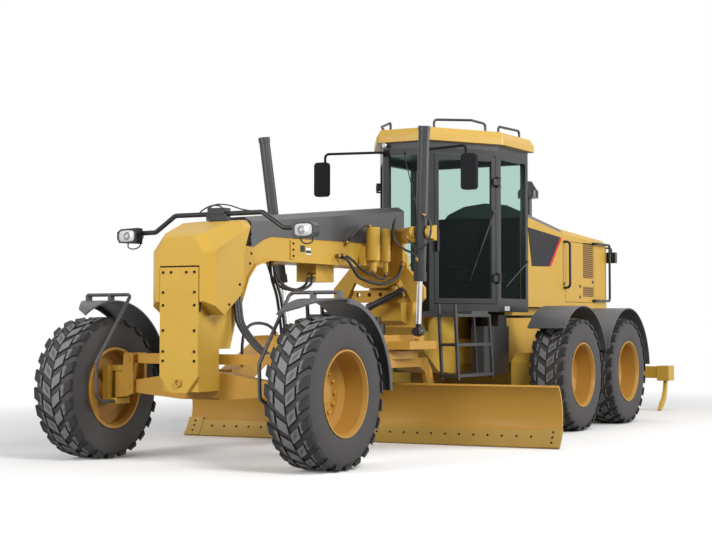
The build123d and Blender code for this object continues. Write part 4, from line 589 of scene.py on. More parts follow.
@dataclass
class Tyre:
    """A tyre with a turned carcass and rows of tread blocks, in place of the plain CAD tyre."""

    wheel: str
    side: str
    outer: float = 0.6395
    carcass: float = 0.617
    half_width: float = 0.209
    bead: float = 0.3505
    blocks: int = 24
    segments: int = 96
    # Rows of lugs: inner and outer edge across the tread, half length and shift round the tyre in pitches,
    # and how far the lug slants from its inner to its outer edge
    rows: tuple[tuple[float, ...], ...] = ((0.004, 0.096, 0.31, 0.00, 0.19), (0.108, 0.207, 0.31, 0.62, 0.19))
    # How deep a lug's foot sinks into the carcass, the foot's and the top's size as shares of the row's,
    # and how far a top drops at its outer edge where that lies beyond the shoulder
    sink: float = 0.012
    foot_share: float = 1.06
    top_share: float = 0.90
    shoulder_drop: float = 0.012
    shoulder: float = 0.19

    def centre(self) -> Triple:
        """Return the wheel's centre."""
        return aft(WHEEL_PLACES[self.wheel]), SIDES[self.side] * TRACK_HALF, WHEEL_Z

    def turned(self, across: np.ndarray, radius: np.ndarray, angle: np.ndarray) -> np.ndarray:
        """Return places from their distance across the tread, radius and angle.

        Args:
            across: Distance outward from the wheel's middle.
            radius: Distance from the axle.
            angle: Angle about the axle.

        Returns:
            Places: x = r cos a, y = outward distance, z = r sin a, from the wheel's centre.
        """
        x, y, z = self.centre()
        return np.stack(
            [x + radius * np.cos(angle), y + SIDES[self.side] * across, z + radius * np.sin(angle)], axis=-1
        )

    def build(self, palette: Palette) -> None:
        """Build the carcass and the blocks, and put them on the wheel's body.

        Args:
            palette: The finishes.
        """
        node = f"tyre_{self.wheel}_{self.side}"
        body = f"wheel_{self.wheel}_{self.side}"
        half, bead, top = self.half_width, self.bead, self.carcass
        sidewall = [
            (0.030, bead), (0.008, bead + 0.030), (0.006, bead + 0.050), (0.000, bead + 0.130),
            (0.006, bead + 0.190), (0.014, bead + 0.225), (0.022, top - 0.014), (0.050, top - 0.002),
            (0.090, top),
        ]
        profile = np.array(
            [(inset - half, radius) for inset, radius in sidewall]
            + [(half - inset, radius) for inset, radius in reversed(sidewall)]
        )
        # The right side mirrors the left, so its profile runs backwards and its faces still point outwards
        profile = profile[::int(SIDES[self.side])]
        angles = np.linspace(0, 2 * pi, self.segments, endpoint=False)
        across, turn = np.meshgrid(profile[:, 0], angles)
        radius = np.meshgrid(profile[:, 1], angles)[0]
        shell = Shell(f"{node}_carcass")
        shell.grid(self.turned(across, radius, turn), wrap_u=True, wrap_v=True)
        carcass = shell.make(palette, "tyre_rubber", smooth=True)
        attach(carcass, body)
        tread = Shell(f"{node}_blocks")
        pitch = 2 * pi / self.blocks
        for hand in (-1, 1):
            for inner, outer, half_long, shift, slant in self.rows:
                for index in range(self.blocks):
                    middle = (index + shift + (0.5 if hand < 0 else 0.0)) * pitch
                    self._lug(tread, hand * inner, hand * outer, middle, half_long * pitch, slant * pitch)
        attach(tread.make(palette, f"tread_{self.wheel}"), body)
        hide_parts(node)

    def _lug(
        self, tread: Shell, inner: float, outer: float, middle: float, half_long: float, slant: float
    ) -> None:
        """Add one lug: four corners sunk in the carcass, and four drawn in a little at the tread's radius."""
        centre = (inner + outer) / 2
        rings = []
        for radius, share in ((self.carcass - self.sink, self.foot_share), (self.outer, self.top_share)):
            ring = []
            for edge, end in ((-1, -1), (1, -1), (1, 1), (-1, 1)):
                across = centre + edge * (outer - inner) / 2 * share
                drop = self.shoulder_drop if edge > 0 and abs(outer) > self.shoulder else 0.0
                turn = middle + end * half_long * share + edge * slant
                ring.append((across, radius - drop, turn))
            rings.append(ring)
        values = np.array(rings)
        if outer < 0:
            values = values[:, ::-1]
        if SIDES[self.side] < 0:
            # The mirrored side's corners run the other way round, from the same first corner
            values = values[:, [0, 3, 2, 1]]
        tread.grid(self.turned(values[..., 0], values[..., 1], values[..., 2]), wrap_v=True, caps=True)


@dataclass
class FrameBolts:
    """Bolt heads on the nose plate, the shroud and the beam, and the tow eye."""

    plate_x: float = aft(-0.408)
    plate_half: float = 0.164
    plate_rows: tuple[float, ...] = (1.655, 1.485, 1.375, 1.160, 0.982, 0.902)
    top_half: float = 0.080
    shroud_half: float = 0.330
    shroud: tuple[Pair, ...] = (
        (0.189, 2.002), (0.189, 1.916), (0.200, 1.832), (0.178, 1.743), (0.023, 1.556), (-0.137, 1.381),
    )
    beam_half: float = 0.197
    beam: tuple[Pair, ...] = ((1.100, 1.850), (1.100, 1.9075), (1.100, 1.965))
    plate_bolt: float = 0.013
    side_bolt: float = 0.012
    height: float = 0.009
    eye: float = 0.030
    eye_rod: float = 0.007
    eye_z: float = 0.715

    def build(self, palette: Palette) -> None:
        """Build the bolts on the front frame's body.

        Args:
            palette: The finishes.
        """
        bolts = Shell("frame_bolts")
        ahead = (1.0, 0.0, 0.0)
        for side in SIDES.values():
            for height in self.plate_rows:
                place = (self.plate_x, side * self.plate_half, height)
                bolts.disc(place, ahead, self.plate_bolt, self.height)
            top = (self.plate_x, side * self.top_half, self.plate_rows[0])
            bolts.disc(top, ahead, self.plate_bolt, self.height)
            for half, places in ((self.shroud_half, self.shroud), (self.beam_half, self.beam)):
                for distance, height in places:
                    place = (aft(distance), side * half, height)
                    bolts.disc(place, (0.0, side, 0.0), self.side_bolt, self.height)
        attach(bolts.make(palette, "groove_rubber"), "front_body")
        eye = Shell("tow_eye")
        turns = np.linspace(0, 2 * pi, 17)
        x = np.full_like(turns, self.plate_x + 0.012)
        ring = np.stack([x, self.eye * np.cos(turns), self.eye_z + self.eye * np.sin(turns)], axis=-1)
        eye.tube(ring, self.eye_rod)
        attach(eye.make(palette, "deep_shaded_yellow_paint", smooth=True), "front_body")


@dataclass
class BladeBolts:
    """Bolt heads on the cutting edge and the end bits, in the blade's own turned frame."""

    centre: Pair = (aft(2.480), 0.0)
    turn: float = radians(4.0)
    arc_radius: float = 0.3955
    arc_height: float = 0.310
    half_length: float = 1.900
    end_bit: float = 2.045
    pitch: float = 0.152
    row: float = 0.110
    end_rows: tuple[float, ...] = (0.055, 0.105, 0.155)
    bolt: float = 0.012
    height: float = 0.007

    def place(self, across: float, height: float) -> tuple[Vector, Vector]:
        """Return a place on the edge's hollow face and the way it faces.

        Args:
            across: Distance along the blade from its middle.
            height: Height above the ground.

        Returns:
            The place, and the unit vector that points from it to the arc's middle line.
        """
        drop = self.arc_height - height
        back = (self.arc_radius**2 - drop**2) ** 0.5
        u, v = -back, across
        x = self.centre[0] + u * cos(self.turn) - v * sin(self.turn)
        y = self.centre[1] + u * sin(self.turn) + v * cos(self.turn)
        normal = Vector((back * cos(self.turn), back * sin(self.turn), drop)).normalized()
        return Vector((x, y, height)), normal

    def build(self, palette: Palette) -> None:
        """Build the bolts on the moldboard's body.

        Args:
            palette: The finishes.
        """
        bolts = Shell("edge_bolts")
        count = int(self.half_length / self.pitch)
        for index in range(-count, count + 1):
            place, normal = self.place(index * self.pitch, self.row)
            bolts.disc(place, normal, self.bolt, self.height)
        for side in SIDES.values():
            for height in self.end_rows:
                place, normal = self.place(side * self.end_bit, height)
                bolts.disc(place + normal * self.height, normal, self.bolt, self.height)
        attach(bolts.make(palette, "groove_rubber"), "moldboard")


@dataclass
class RimBolts:
    """Nuts round each rim's disc."""

    wheel: str
    side: str
    circle: float = 0.185
    face: float = -0.0355
    count: int = 12
    nut: float = 0.020
    height: float = 0.022

    def build(self, palette: Palette) -> None:
        """Build the nuts on the wheel's body.

        Args:
            palette: The finishes.
        """
        out = SIDES[self.side]
        x, y = aft(WHEEL_PLACES[self.wheel]), out * (TRACK_HALF + self.face)
        nuts = Shell(f"nuts_{self.wheel}_{self.side}")
        for index in range(self.count):
            angle = 2 * pi * index / self.count
            place = (x + self.circle * cos(angle), y, WHEEL_Z + self.circle * sin(angle))
            nuts.disc(place, (0.0, out, 0.0), self.nut, self.height)
        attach(nuts.make(palette, "deep_shaded_yellow_paint"), f"wheel_{self.wheel}_{self.side}")


@dataclass(frozen=True)
class Hose:
    """A hose or a cable along a smooth path, through places given as distance behind the axle, Y and Z."""

    points: tuple[Triple, ...]
    radius: float = 0.014
    sides: int = 9

    def add_to(self, shell: Shell, fittings: Shell | None = None) -> None:
        """Add the hose as a tube along its path, and its crimped end fittings.

        Args:
            shell: The piece that takes the hose.
            fittings: The piece that takes the fittings, or None for none.
        """
        path = smooth_path([(aft(distance), y, z) for distance, y, z in self.points])
        shell.tube(path, self.radius, self.sides)
        if fittings is not None:
            for end, inward in ((path[0], path[2]), (path[-1], path[-3])):
                way = (Vector(inward) - Vector(end)).normalized()
                start = Vector(end) - way * 0.004
                fittings.tube(straight(start, start + way * 0.050, 2), self.radius * 1.35)


@dataclass(frozen=True)
class HoseGroup:
    """Hoses that hang on one body, or that are baked in place between one body and the next."""

    name: str
    body: str
    hoses: tuple[Hose, ...]
    bends_to: str = ""
    bend_from: Triple = (0.0, 0.0, 0.0)
    bend_to: Triple = (0.0, 0.0, 0.0)

    def build(self, palette: Palette) -> None:
        """Build the hoses and put them on their body, or bake them in place between two bodies.

        Args:
            palette: The finishes.
        """
        rubber = Shell(f"{self.name}_hoses")
        metal = Shell(f"{self.name}_fittings")
        for hose in self.hoses:
            hose.add_to(rubber, None if self.bends_to else metal)
        pieces = [rubber.make(palette, "hose_rubber", smooth=True)]
        if not self.bends_to:
            pieces.append(metal.make(palette, "hose_fitting", smooth=True))
        for piece in pieces:
            if self.bends_to:
                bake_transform(piece)
            else:
                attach(piece, self.body)


def side_hoses(side: float) -> tuple[Hose, ...]:
    """Return the hoses from the saddle to one lift cylinder.

    Args:
        side: 1 for the left cylinder, -1 for the right one.

    Returns:
        A hose along the saddle and down the barrel, and a loop round the trunnion.
    """
    along = (
        (2.900, 0.300, 2.165), (2.640, 0.420, 2.190), (2.440, 0.560, 2.275), (2.350, 0.600, 2.200),
        (2.345, 0.600, 2.060), (2.360, 0.690, 1.960), (2.395, 0.800, 1.900), (2.405, 0.822, 1.830),
    )
    loop = (
        (0.905, 2.300), (0.985, 2.230), (1.000, 2.120), (0.960, 2.010), (0.880, 1.960), (0.800, 1.990),
        (0.730, 2.080),
    )
    return (
        Hose(tuple((distance, side * y, z) for distance, y, z in along), 0.012),
        Hose(tuple((2.350, side * y, z) for y, z in loop), 0.010),
    )


def machine_hoses() -> list[HoseGroup]:
    """Return every group of hoses in its place.

    Returns:
        Groups on the front frame, and the ones that bend down to the drawbar.
    """
    nose = [
        Hose((
            (0.060, side * 0.120, 1.400), (0.020, side * 0.140, 1.300), (0.030, side * 0.120, 1.180),
            (0.040, side * 0.085, 1.060), (0.045, side * 0.060, 0.965),
        ), 0.016)
        for side in SIDES.values()
    ]
    bundle = [
        Hose((
            (0.130 + gap, 0.200, 1.520), (0.110 + gap, 0.225, 1.380), (0.100 + gap, 0.262, 1.220),
            (0.095 + gap, 0.370, 1.085), (0.090 + gap, 0.500, 0.975), (0.085 + gap, 0.600, 0.930),
        ), 0.017)
        for gap in (0.0, 0.040, 0.080)
    ]
    beam = [
        Hose((
            (0.900, y, 1.800), (0.925, y, 1.730), (1.000, y, 1.625), (1.160, y, 1.555), (1.380, y, 1.540),
            (1.560, y, 1.590), (1.640, y, 1.700),
        ))
        for y in (0.100, 0.045)
    ]
    shelf = [
        Hose((
            (1.900, 0.200, 1.880), (1.905, 0.300, 1.850), (1.960, 0.340, 1.770), (2.110, 0.340, 1.670),
            (2.520, 0.340, 1.620), (2.880, 0.340, 1.700), (3.020, 0.330, 1.850),
        ), 0.016),
        Hose((
            (1.990, 0.200, 1.890), (2.010, 0.285, 1.860), (2.100, 0.345, 1.770), (2.280, 0.350, 1.715),
            (2.420, 0.330, 1.742),
        )),
        Hose((
            (2.420, 0.300, 1.745), (2.470, 0.330, 1.690), (2.550, 0.340, 1.672), (2.640, 0.335, 1.690),
            (2.680, 0.315, 1.745),
        ), 0.012),
        Hose((
            (2.060, 0.200, 2.000), (2.080, 0.265, 2.080), (2.160, 0.290, 2.150), (2.300, 0.290, 2.200),
            (2.400, 0.310, 2.190),
        ), 0.012),
    ]
    down = [
        Hose((
            (0.930, y, 1.800), (0.960, y, 1.640), (1.045, y, 1.480), (1.095, y, 1.300), (1.120, y, 1.180),
            (1.130, y, 1.095),
        ))
        for y in (0.090, 0.050)
    ]
    arch = Hose((
        (0.430, 0.085, 0.840), (0.425, 0.085, 1.000), (0.455, 0.085, 1.130), (0.540, 0.085, 1.200),
        (0.660, 0.085, 1.222), (0.800, 0.085, 1.215), (0.910, 0.085, 1.180), (0.975, 0.085, 1.130),
        (1.000, 0.085, 1.095),
    ))
    bend = ((aft(0.960), 0.070, 1.600), (aft(1.120), 0.070, 1.150))
    return [
        HoseGroup("down", "front_body", tuple(down), "drawbar", *bend),
        HoseGroup("drawbar", "drawbar", (arch,)),
        HoseGroup("nose", "front_body", tuple(nose + bundle)),
        HoseGroup("beam", "front_body", tuple(beam + shelf)),
        HoseGroup("lift_left", "front_body", side_hoses(1.0)),
        HoseGroup("lift_right", "front_body", side_hoses(-1.0)),
    ]


@dataclass
class HeadLamps:
    """Clear lenses over round reflectors, on the housings at the ends of the lamp bar."""

    face: float = aft(0.073)
    centre: Pair = (0.945, 2.014)
    half: Pair = (0.088, 0.054)
    power: float = 4.0
    steps: int = 32
    # Share of the lens's outline and how far it bulges there
    bulges: tuple[Pair, ...] = ((1.0, 0.000), (0.97, 0.006), (0.75, 0.012), (0.45, 0.016), (0.12, 0.018))
    bulbs: Pair = (0.032, 0.020)
    bulb_inset: float = 0.012
    bulb_lift: float = 0.0165
    bulb_wire: float = 0.003
    trim_wire: float = 0.006
    trim_growth: float = 0.04

    def build(self, palette: Palette) -> None:
        """Build both lamps on the front frame's body.

        Args:
            palette: The finishes.
        """
        for hand, side in SIDES.items():
            lens = Shell(f"headlamp_lens_{hand}")
            turns = np.linspace(0, 2 * pi, self.steps, endpoint=False)
            edge = np.abs(np.cos(turns)) ** self.power + np.abs(np.sin(turns)) ** self.power
            reach = edge ** (-1 / self.power)
            rings = []
            for share, bulge in self.bulges:
                y = side * self.centre[0] + share * self.half[0] * reach * np.cos(turns)
                z = self.centre[1] + share * self.half[1] * reach * np.sin(turns)
                rings.append(np.stack([np.full_like(y, self.face + bulge), y, z], axis=-1))
            lens.grid(np.array(rings), wrap_v=True, caps=True)
            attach(lens.make(palette, "lamp_lens", smooth=True), "front_body")
            trim = Shell(f"headlamp_trim_{hand}")
            outer = rings[0] + (rings[0] - rings[0].mean(axis=0)) * self.trim_growth
            trim.tube(np.vstack([outer, outer[:1]]), self.trim_wire, 8)
            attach(trim.make(palette, "dark_steel", smooth=True), "front_body")
            bulb = Shell(f"headlamp_bulb_{hand}")
            around = np.linspace(0, 2 * pi, 25)
            for radius in self.bulbs:
                y = side * (self.centre[0] - self.bulb_inset) + radius * np.cos(around)
                z = self.centre[1] + radius * np.sin(around)
                x = np.full_like(y, self.face + self.bulb_lift)
                bulb.tube(np.stack([x, y, z], axis=-1), self.bulb_wire, 6)
            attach(bulb.make(palette, "dark_steel", smooth=True), "front_body")
            lead = Shell(f"headlamp_lead_{hand}")
            Hose((
                (0.150, side * 0.990, 1.952), (0.150, side * 0.985, 1.915), (0.155, side * 0.930, 1.900),
                (0.165, side * 0.870, 1.925), (0.170, side * 0.830, 2.020),
            ), 0.006, 8).add_to(lead)
            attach(lead.make(palette, "hose_rubber", smooth=True), "front_body")


@dataclass
class FrontTrim:
    """The painted shade in the gap over the nose plate, the blank plates on the beam and the cable over the
    lamp bracket.
    """

    gap_x: Pair = (aft(-0.3755), aft(-0.3930))
    gap_half: float = 0.2076
    gap_z: Pair = (1.6975, 1.7105)
    gap_foot: float = 1.320
    gap_depth: float = 0.0072

    def build(self, palette: Palette) -> None:
        """Build the trim on the front frame's body.

        Args:
            palette: The finishes.
        """
        # A near-black strip over the nose plate and down its sides is painted shade that fills the gap.
        gap = Shell("nose_gap_painted_shade")
        half, top = self.gap_half, self.gap_z[1]
        gap.side_box(1.0, self.gap_x, (-half, half), self.gap_z)
        for side in SIDES.values():
            gap.side_box(side, self.gap_x, (half - self.gap_depth, half), (self.gap_foot, top))
        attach(gap.make(palette, "groove_rubber"), "front_body")
        plates = Shell("beam_plates")
        plates.box((aft(1.430), 0.185, 1.872), (aft(1.345), 0.1875, 1.935))
        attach(plates.make(palette, "white_mark"), "front_body")
        dark = Shell("beam_plates_dark")
        dark.box((aft(1.325), 0.185, 1.895), (aft(1.245), 0.1875, 1.955))
        dark.box((aft(1.430), 0.1876, 1.886), (aft(1.345), 0.1880, 1.912))
        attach(dark.make(palette, "black_paint"), "front_body")
        cable = Shell("lamp_cable")
        Hose((
            (0.110, 0.110, 2.205), (0.115, 0.060, 2.250), (0.120, -0.020, 2.262), (0.120, -0.100, 2.240),
            (0.150, -0.180, 2.212),
        ), 0.007, 8).add_to(cable)
        Hose((
            (0.110, -0.060, 2.238), (0.115, 0.020, 2.268), (0.130, 0.140, 2.258), (0.160, 0.250, 2.222),
            (0.185, 0.330, 2.206),
        ), 0.006, 8).add_to(cable)
        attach(cable.make(palette, "hose_rubber", smooth=True), "front_body")


@dataclass(frozen=True)
class Cushion:
    """A crowned pad: a superellipse outline whose thickness falls off to its seam."""

    name: str
    centre: Triple
    across: Pair
    thickness: float
    lean: float = 0.0
    channels: tuple[float, ...] = ()

    def build(self, palette: Palette) -> None:
        """Build the pad in the cab: half a superellipse across, fading to both ends by (1 - u^4).

        Args:
            palette: The finishes.
        """
        turns = np.linspace(0, 2 * pi, 48, endpoint=False)
        shell = Shell(self.name)
        rings = []
        for u in np.sin(np.linspace(-1.55, 1.55, 40)):
            fade = max(1 - abs(u) ** 4, 0.0)
            groove = 1 - sum(0.22 * np.exp(-(((u - channel) / 0.05) ** 2)) for channel in self.channels)
            wide = np.sign(np.cos(turns)) * np.abs(np.cos(turns)) ** 0.5 * (fade**0.25) * self.across[1] / 2
            above = np.sin(turns) * np.where(np.sin(turns) > 0, 1.0, 0.35)
            rise = above * fade**0.5 * groove * self.thickness
            along = np.full_like(wide, u * self.across[0] / 2)
            rings.append(np.stack([
                self.centre[0] + along * cos(self.lean) - rise * sin(self.lean),
                self.centre[1] + wide,
                self.centre[2] + along * sin(self.lean) + rise * cos(self.lean),
            ], axis=-1))
        shell.grid(np.array(rings), wrap_v=True, caps=True)
        piece = shell.make(palette, "seat_fabric", smooth=True)
        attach(piece, "front_body")


@dataclass
class CabTrim:
    """Wipers on the cab and its doors, work lamps at the cab's foot and markers on the roof's front."""

    front_x: float = aft(3.720)
    front_y: float = 0.285
    post_x: float = aft(4.500)
    post_y: float = 0.750
    # Gap between a pane and its wiper, and the radii of a wiper's arm, rubber and boss
    gap: float = 0.012
    arm: float = 0.007
    rubber: float = 0.006
    boss: float = 0.018

    def build(self, palette: Palette) -> None:
        """Build the trim on the cab's body.

        Args:
            palette: The finishes.
        """
        wipers = Shell("wipers")
        ahead = Vector((1.0, 0.0, 0.0))
        front = self.front_x + self.gap
        self._wiper(wipers, (front, 0.100, 1.480), (front, -0.060, 2.080), ahead, 0.30)
        self._wiper(wipers, (front, -0.020, 3.090), (front, 0.110, 2.600), ahead, 0.25)
        for side in SIDES.values():
            out = side * (self.post_y + self.gap)
            way = Vector((0.0, side, 0.0))
            self._wiper(wipers, (aft(5.290), out, 1.930), (aft(4.860), out, 1.720), way, 0.20)
        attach(wipers.make(palette, "dark_steel", smooth=True), "front_body")
        for hand, side in SIDES.items():
            along = Vector((self.front_x - self.post_x, side * (self.front_y - self.post_y), 0.0))
            along.normalize()
            way = Vector((-along.y, along.x, 0.0)) * side
            post = Vector((self.post_x, side * self.post_y, 0.0)) + way * self.gap
            start = post + along * 0.060 + Vector((0.0, 0.0, 2.459))
            tip = post + along * 0.300 + Vector((0.0, 0.0, 1.900))
            door = Shell(f"door_wiper_{hand}")
            self._wiper(door, start, tip, way, 0.24)
            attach(door.make(palette, "dark_steel", smooth=True), f"door_{hand}")
        work = Shell("work_lamps")
        for side in SIDES.values():
            work.side_box(side, (aft(4.790), aft(4.660)), (0.7505, 0.7560), (1.362, 1.412))
        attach(work.make(palette, "lamp_lens"), "front_body")
        markers = Shell("roof_markers")
        for side in SIDES.values():
            markers.disc((aft(3.652), side * 0.230, 3.172), (1.0, 0.0, 0.0), 0.026, 0.014, 16)
        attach(markers.make(palette, "lamp_mirror"), "front_body")

    def _wiper(self, shell: Shell, pivot: Place, tip: Place, outward: Vector, blade: float) -> None:
        """Add one wiper: an arm from its pivot to the blade's middle, and the blade along the arm."""
        start, end = Vector(pivot), Vector(tip)
        reach = (end - start).normalized() * blade
        shell.tube(straight(start, end, 3), self.arm, 8)
        shell.tube(straight(end - reach, end + reach, 3), self.rubber, 8)
        shell.disc(start - outward * self.gap, outward, self.boss, self.boss, 12)


@dataclass
class CabLiningAndShade:
    """Dark panels inside the cab, partly trim and partly painted shade: the wall behind the seat and low
    panels on both sides.
    """

    rear_x: float = aft(5.262)
    front_x: float = aft(4.560)
    half: float = 0.680
    thickness: float = 0.020
    floor: float = 1.421
    rear_top: float = 2.450
    side_top: float = 1.800

    def build(self, palette: Palette) -> None:
        """Build the lining on the cab's body.

        Args:
            palette: The finishes.
        """
        # The near-black panels stand partly for the cab's trim and partly for the shade inside it.
        lining = Shell("cab_lining_and_shade")
        rear, half = self.rear_x, self.half
        lining.side_box(1.0, (rear, rear + self.thickness), (-half, half), (self.floor, self.rear_top))
        for side in SIDES.values():
            panel = (half - self.thickness, half)
            lining.side_box(side, (rear, self.front_x), panel, (self.floor, self.side_top))
        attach(lining.make(palette, "seat_fabric"), "front_body")


@dataclass
class HoodTrim:
    """Louvre slats in the vents, seams round the service doors and their latches."""

    wall: float = 0.550
    vents: tuple[tuple[float, float, float, float], ...] = (
        (7.590, 7.960, 1.810, 2.270), (7.590, 7.960, 1.570, 1.700),
    )
    slat: float = 0.009
    slat_depth: Pair = (-0.014, 0.001)
    pitch: float = 0.026
    seams: Pair = (6.972, 7.988)
    seam: float = 0.006
    seam_lift: float = 0.0012
    seam_z: Pair = (1.490, 2.262)
    latches: tuple[Pair, ...] = ((6.930, 1.720), (7.480, 1.560), (7.480, 1.700), (7.930, 1.766))
    latch: Pair = (0.020, 0.010)

    def build(self, palette: Palette) -> None:
        """Build the trim on the rear body.

        Args:
            palette: The finishes.
        """
        slats = Shell("hood_louvres")
        seams = Shell("hood_seams")
        latches = Shell("hood_latches")
        low, high = self.seam_z
        depth = (self.wall + self.slat_depth[0], self.wall + self.slat_depth[1])
        skin = (self.wall, self.wall + self.seam_lift)
        for side in SIDES.values():
            for front, rear, foot, top in self.vents:
                for z in np.arange(foot + self.pitch / 2, top - self.slat, self.pitch):
                    slats.side_box(side, (aft(rear), aft(front)), depth, (z, z + self.slat))
            for distance in self.seams:
                seams.side_box(side, (aft(distance + self.seam), aft(distance)), skin, self.seam_z)
            front, rear = self.seams
            for z in (low, high - self.seam):
                seams.side_box(side, (aft(rear), aft(front)), skin, (z, z + self.seam))
            for distance, z in self.latches:
                latches.disc((aft(distance), side * self.wall, z), (0.0, side, 0.0), *self.latch, 16)
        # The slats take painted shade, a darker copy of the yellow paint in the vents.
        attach(slats.make(palette, "shaded_yellow_paint"), "rear_body")
        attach(seams.make(palette, "groove_rubber"), "rear_body")
        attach(latches.make(palette, "dark_steel"), "rear_body")


@dataclass
class ShiftCylinder:
    """The cylinder that holds the circle sideways, from the link bar to the drawbar's right side."""

    high: Triple = (aft(3.085), 0.285, 1.556)
    low: Triple = (aft(2.860), -0.560, 1.150)
    barrel_share: float = 0.40
    barrel: float = 0.035
    cap: float = 0.042
    gland: float = 0.040
    rod: float = 0.026
    eye: float = 0.048

    def build(self, palette: Palette) -> None:
        """Build the barrel and the rod in place between the front frame and the drawbar, with the mount and
        the clevis.

        Args:
            palette: The finishes.
        """
        start, end = Vector(self.high), Vector(self.low)
        middle = start.lerp(end, self.barrel_share)
        way = (end - start).normalized()
        barrel = Shell("shift_cylinder_barrel")
        barrel.tube(straight(start - way * 0.040, middle), self.barrel, 20)
        barrel.tube(straight(start - way * 0.045, start + way * 0.040), self.cap, 20)
        barrel.tube(straight(middle - way * 0.030, middle + way * 0.020), self.gland, 20)
        rod = Shell("shift_cylinder_rod")
        rod.tube(straight(middle - way * 0.020, end), self.rod, 16)
        eye = Shell("shift_cylinder_eye")
        eye.tube(straight(end - way * 0.060, end + way * 0.050), self.eye, 16)
        for shell, finish in ((barrel, "dark_steel"), (rod, "hard_chrome"), (eye, "dark_steel")):
            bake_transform(shell.make(palette, finish, smooth=True))
        mount = Shell("shift_cylinder_mount")
        x, y, z = self.low
        for gap in (-0.075, 0.050):
            mount.box((x + gap, y - 0.060, 1.090), (x + gap + 0.025, y + 0.060, z + 0.060))
        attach(mount.make(palette, "deep_shaded_yellow_paint"), "drawbar")
        clevis = Shell("shift_cylinder_clevis")
        x, y, z = self.high
        for gap in (-0.062, 0.062):
            clevis.box((x - 0.070, y - 0.045 + gap, z - 0.030), (x + 0.030, y - 0.020 + gap, z + 0.055))
        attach(clevis.make(palette, "yellow_paint"), "front_body")


def looking(name: str, data: bpy.types.ID, place: Place, way: Vector) -> bpy.types.Object:
    """Put a lamp or a camera at a place, so that it looks along a way.

    Args:
        name: The object's name.
        data: The lamp or the camera.
        place: Where it stands.
        way: The way it looks.

    Returns:
        The new object.
    """
    thing = bpy.data.objects.new(name, data)
    thing.matrix_world = Matrix.Translation(Vector(place)) @ way.to_track_quat("-Z", "Y").to_matrix().to_4x4()
    bpy.context.scene.collection.objects.link(thing)
    return thing


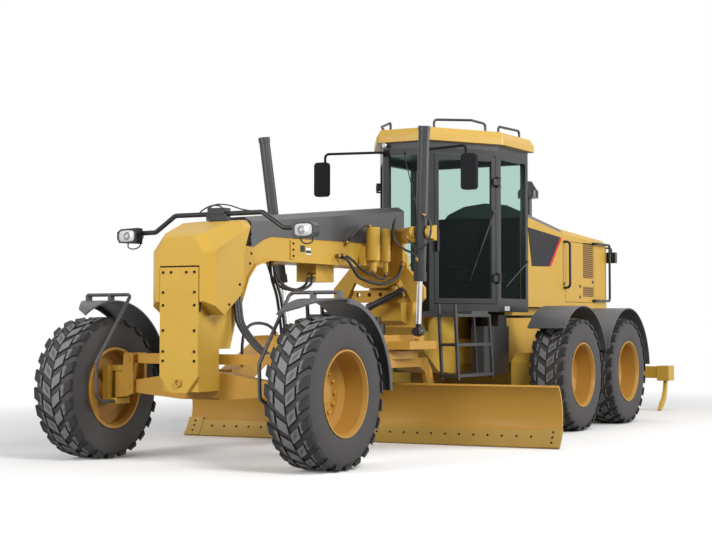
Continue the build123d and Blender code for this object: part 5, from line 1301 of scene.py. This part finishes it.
@dataclass
class Studio:
    """Pale floor, white surroundings and soft lights."""

    floor_half: float = 60.0
    sky: float = 0.26
    floor_return: float = 0.34
    # How far from the middle the floor's shadow fades into white
    fade: Pair = (3.5, 8.0)
    # Each light's name, place, aim, size and power
    lights: tuple[tuple[str, Triple, Triple, float, float], ...] = (
        ("key", (8.5, 9.0, 7.5), (0.5, 0.0, 1.0), 4.0, 1000.0),
        ("front", (15.0, -3.0, 4.5), (3.0, 0.0, 1.0), 4.0, 820.0),
        ("side", (-4.0, 11.0, 4.0), (-2.5, 0.0, 1.2), 4.0, 800.0),
        ("top", (-2.0, 1.0, 11.0), (-2.0, 0.0, 1.0), 8.0, 270.0),
    )

    def build(self, palette: Palette) -> None:
        """Build the floor, the world and the lights.

        Args:
            palette: The finishes.
        """
        floor = Shell("studio_floor")
        half = self.floor_half
        floor.grid(np.array([[(x, y, 0.0) for x in (-half, half)] for y in (-half, half)]))
        thing = floor.make(palette, "white_mark")
        self._floor_material(thing)
        self._world()
        for light in self.lights:
            self._light(*light)

    @staticmethod
    def _seen(sheet: NodeSheet) -> Socket:
        """Return a socket that is 1 for the rays that show the background: camera, glossy, transmission."""
        rays = sheet.tree.nodes.new("ShaderNodeLightPath").outputs
        either = sheet.add("Math", {0: rays["Is Camera Ray"], 1: rays["Is Glossy Ray"]}, "MAXIMUM")
        return sheet.add("Math", {0: either, 1: rays["Is Transmission Ray"]}, "MAXIMUM")

    def _floor_material(self, thing: bpy.types.Object) -> None:
        """Give the floor a white look that keeps the shadow near the machine."""
        sheet = NodeSheet(bpy.data.materials.new("studio_white"))
        # The camera sees a white floor, and the machine gets less light back from it
        seen = sheet.add("MapRange", {"Value": self._seen(sheet), "To Min": self.floor_return, "To Max": 1.0})
        sheet.paint({"Base Color": seen, "Roughness": 0.9, "Specular IOR Level": 0.0})
        glow = sheet.add("Emission", {"Color": Shade.SKY.colour(), "Strength": seen})
        reach = sheet.reach((0.0, 0.0, 0.0), (0.75, 1.0, 0.0))
        fade = sheet.add("MapRange", {"Value": reach, "From Min": self.fade[0], "From Max": self.fade[1]})
        plain = sheet.tree.nodes["Principled BSDF"].outputs[0]
        thing.data.materials.clear()
        thing.data.materials.append(sheet.surface(sheet.add("MixShader", {0: fade, 1: plain, 2: glow})))

    def _world(self) -> None:
        """White for camera, glossy and transmission rays, and a plain soft light for the rest."""
        world = bpy.data.worlds.new("studio_world")
        bpy.context.scene.world = world
        sheet = NodeSheet(world)
        sheet.tree.nodes.clear()
        soft = sheet.add("Background", {"Color": Shade.SKY.colour(), "Strength": self.sky})
        white = sheet.add("Background", {"Color": Shade.SKY.colour()})
        mix = sheet.add("MixShader", {0: self._seen(sheet), 1: soft, 2: white})
        sheet.fill(sheet.tree.nodes.new("ShaderNodeOutputWorld"), {"Surface": mix})

    @staticmethod
    def _light(name: str, place: Triple, aim: Triple, size: float, power: float) -> None:
        """Add one area light that looks at a place."""
        light = bpy.data.lights.new(f"studio_{name}", "AREA")
        light.energy = power
        light.size = size
        looking(f"studio_{name}", light, place, Vector(aim) - Vector(place))


@dataclass
class PhotoCamera:
    """The camera at the photo's viewpoint."""

    place: Triple = (15.353, 7.598, 1.218)
    yaw: float = 3.6614
    pitch: float = 0.038
    lens: float = 75.39

    def build(self) -> None:
        """Build the camera and make it the scene's."""
        data = bpy.data.cameras.new("photo_camera")
        data.lens = self.lens
        data.sensor_width = 36.0
        data.sensor_fit = "HORIZONTAL"
        data.clip_end = 300.0
        way = Vector((cos(self.yaw) * cos(self.pitch), sin(self.yaw) * cos(self.pitch), sin(self.pitch)))
        bpy.context.scene.camera = looking("photo_camera", data, self.place, way)


SEAT_CUSHIONS = (
    Cushion("seat_cushion", (aft(4.745), 0.0, 1.832), (0.54, 0.52), 0.060, radians(4.0), (-0.30, 0.15)),
    Cushion(
        "seat_back_pad", (aft(4.962), 0.0, 2.120), (0.62, 0.47), 0.050, radians(-83.0), (-0.45, 0.0, 0.45)
    ),
)


def main() -> None:
    """Build every piece in order."""
    logging.basicConfig(level=logging.INFO, format="%(message)s")
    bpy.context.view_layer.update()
    palette = Palette()
    for finish, nodes in NODE_FINISHES.items():
        for name in nodes:
            palette.paint(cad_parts[name], finish)
            LOG.info("painted %s: %s", name, finish)
    for wheel in WHEEL_PLACES:
        for side in SIDES:
            Tyre(wheel, side).build(palette)
            RimBolts(wheel, side).build(palette)
    FrameBolts().build(palette)
    BladeBolts().build(palette)
    for group in machine_hoses():
        group.build(palette)
    HeadLamps().build(palette)
    FrontTrim().build(palette)
    CabTrim().build(palette)
    CabLiningAndShade().build(palette)
    HoodTrim().build(palette)
    ShiftCylinder().build(palette)
    for cushion in SEAT_CUSHIONS:
        cushion.build(palette)
    Studio().build(palette)
    PhotoCamera().build()
    bpy.context.scene.view_settings.view_transform = "Standard"


if __name__ == "__main__":
    main()
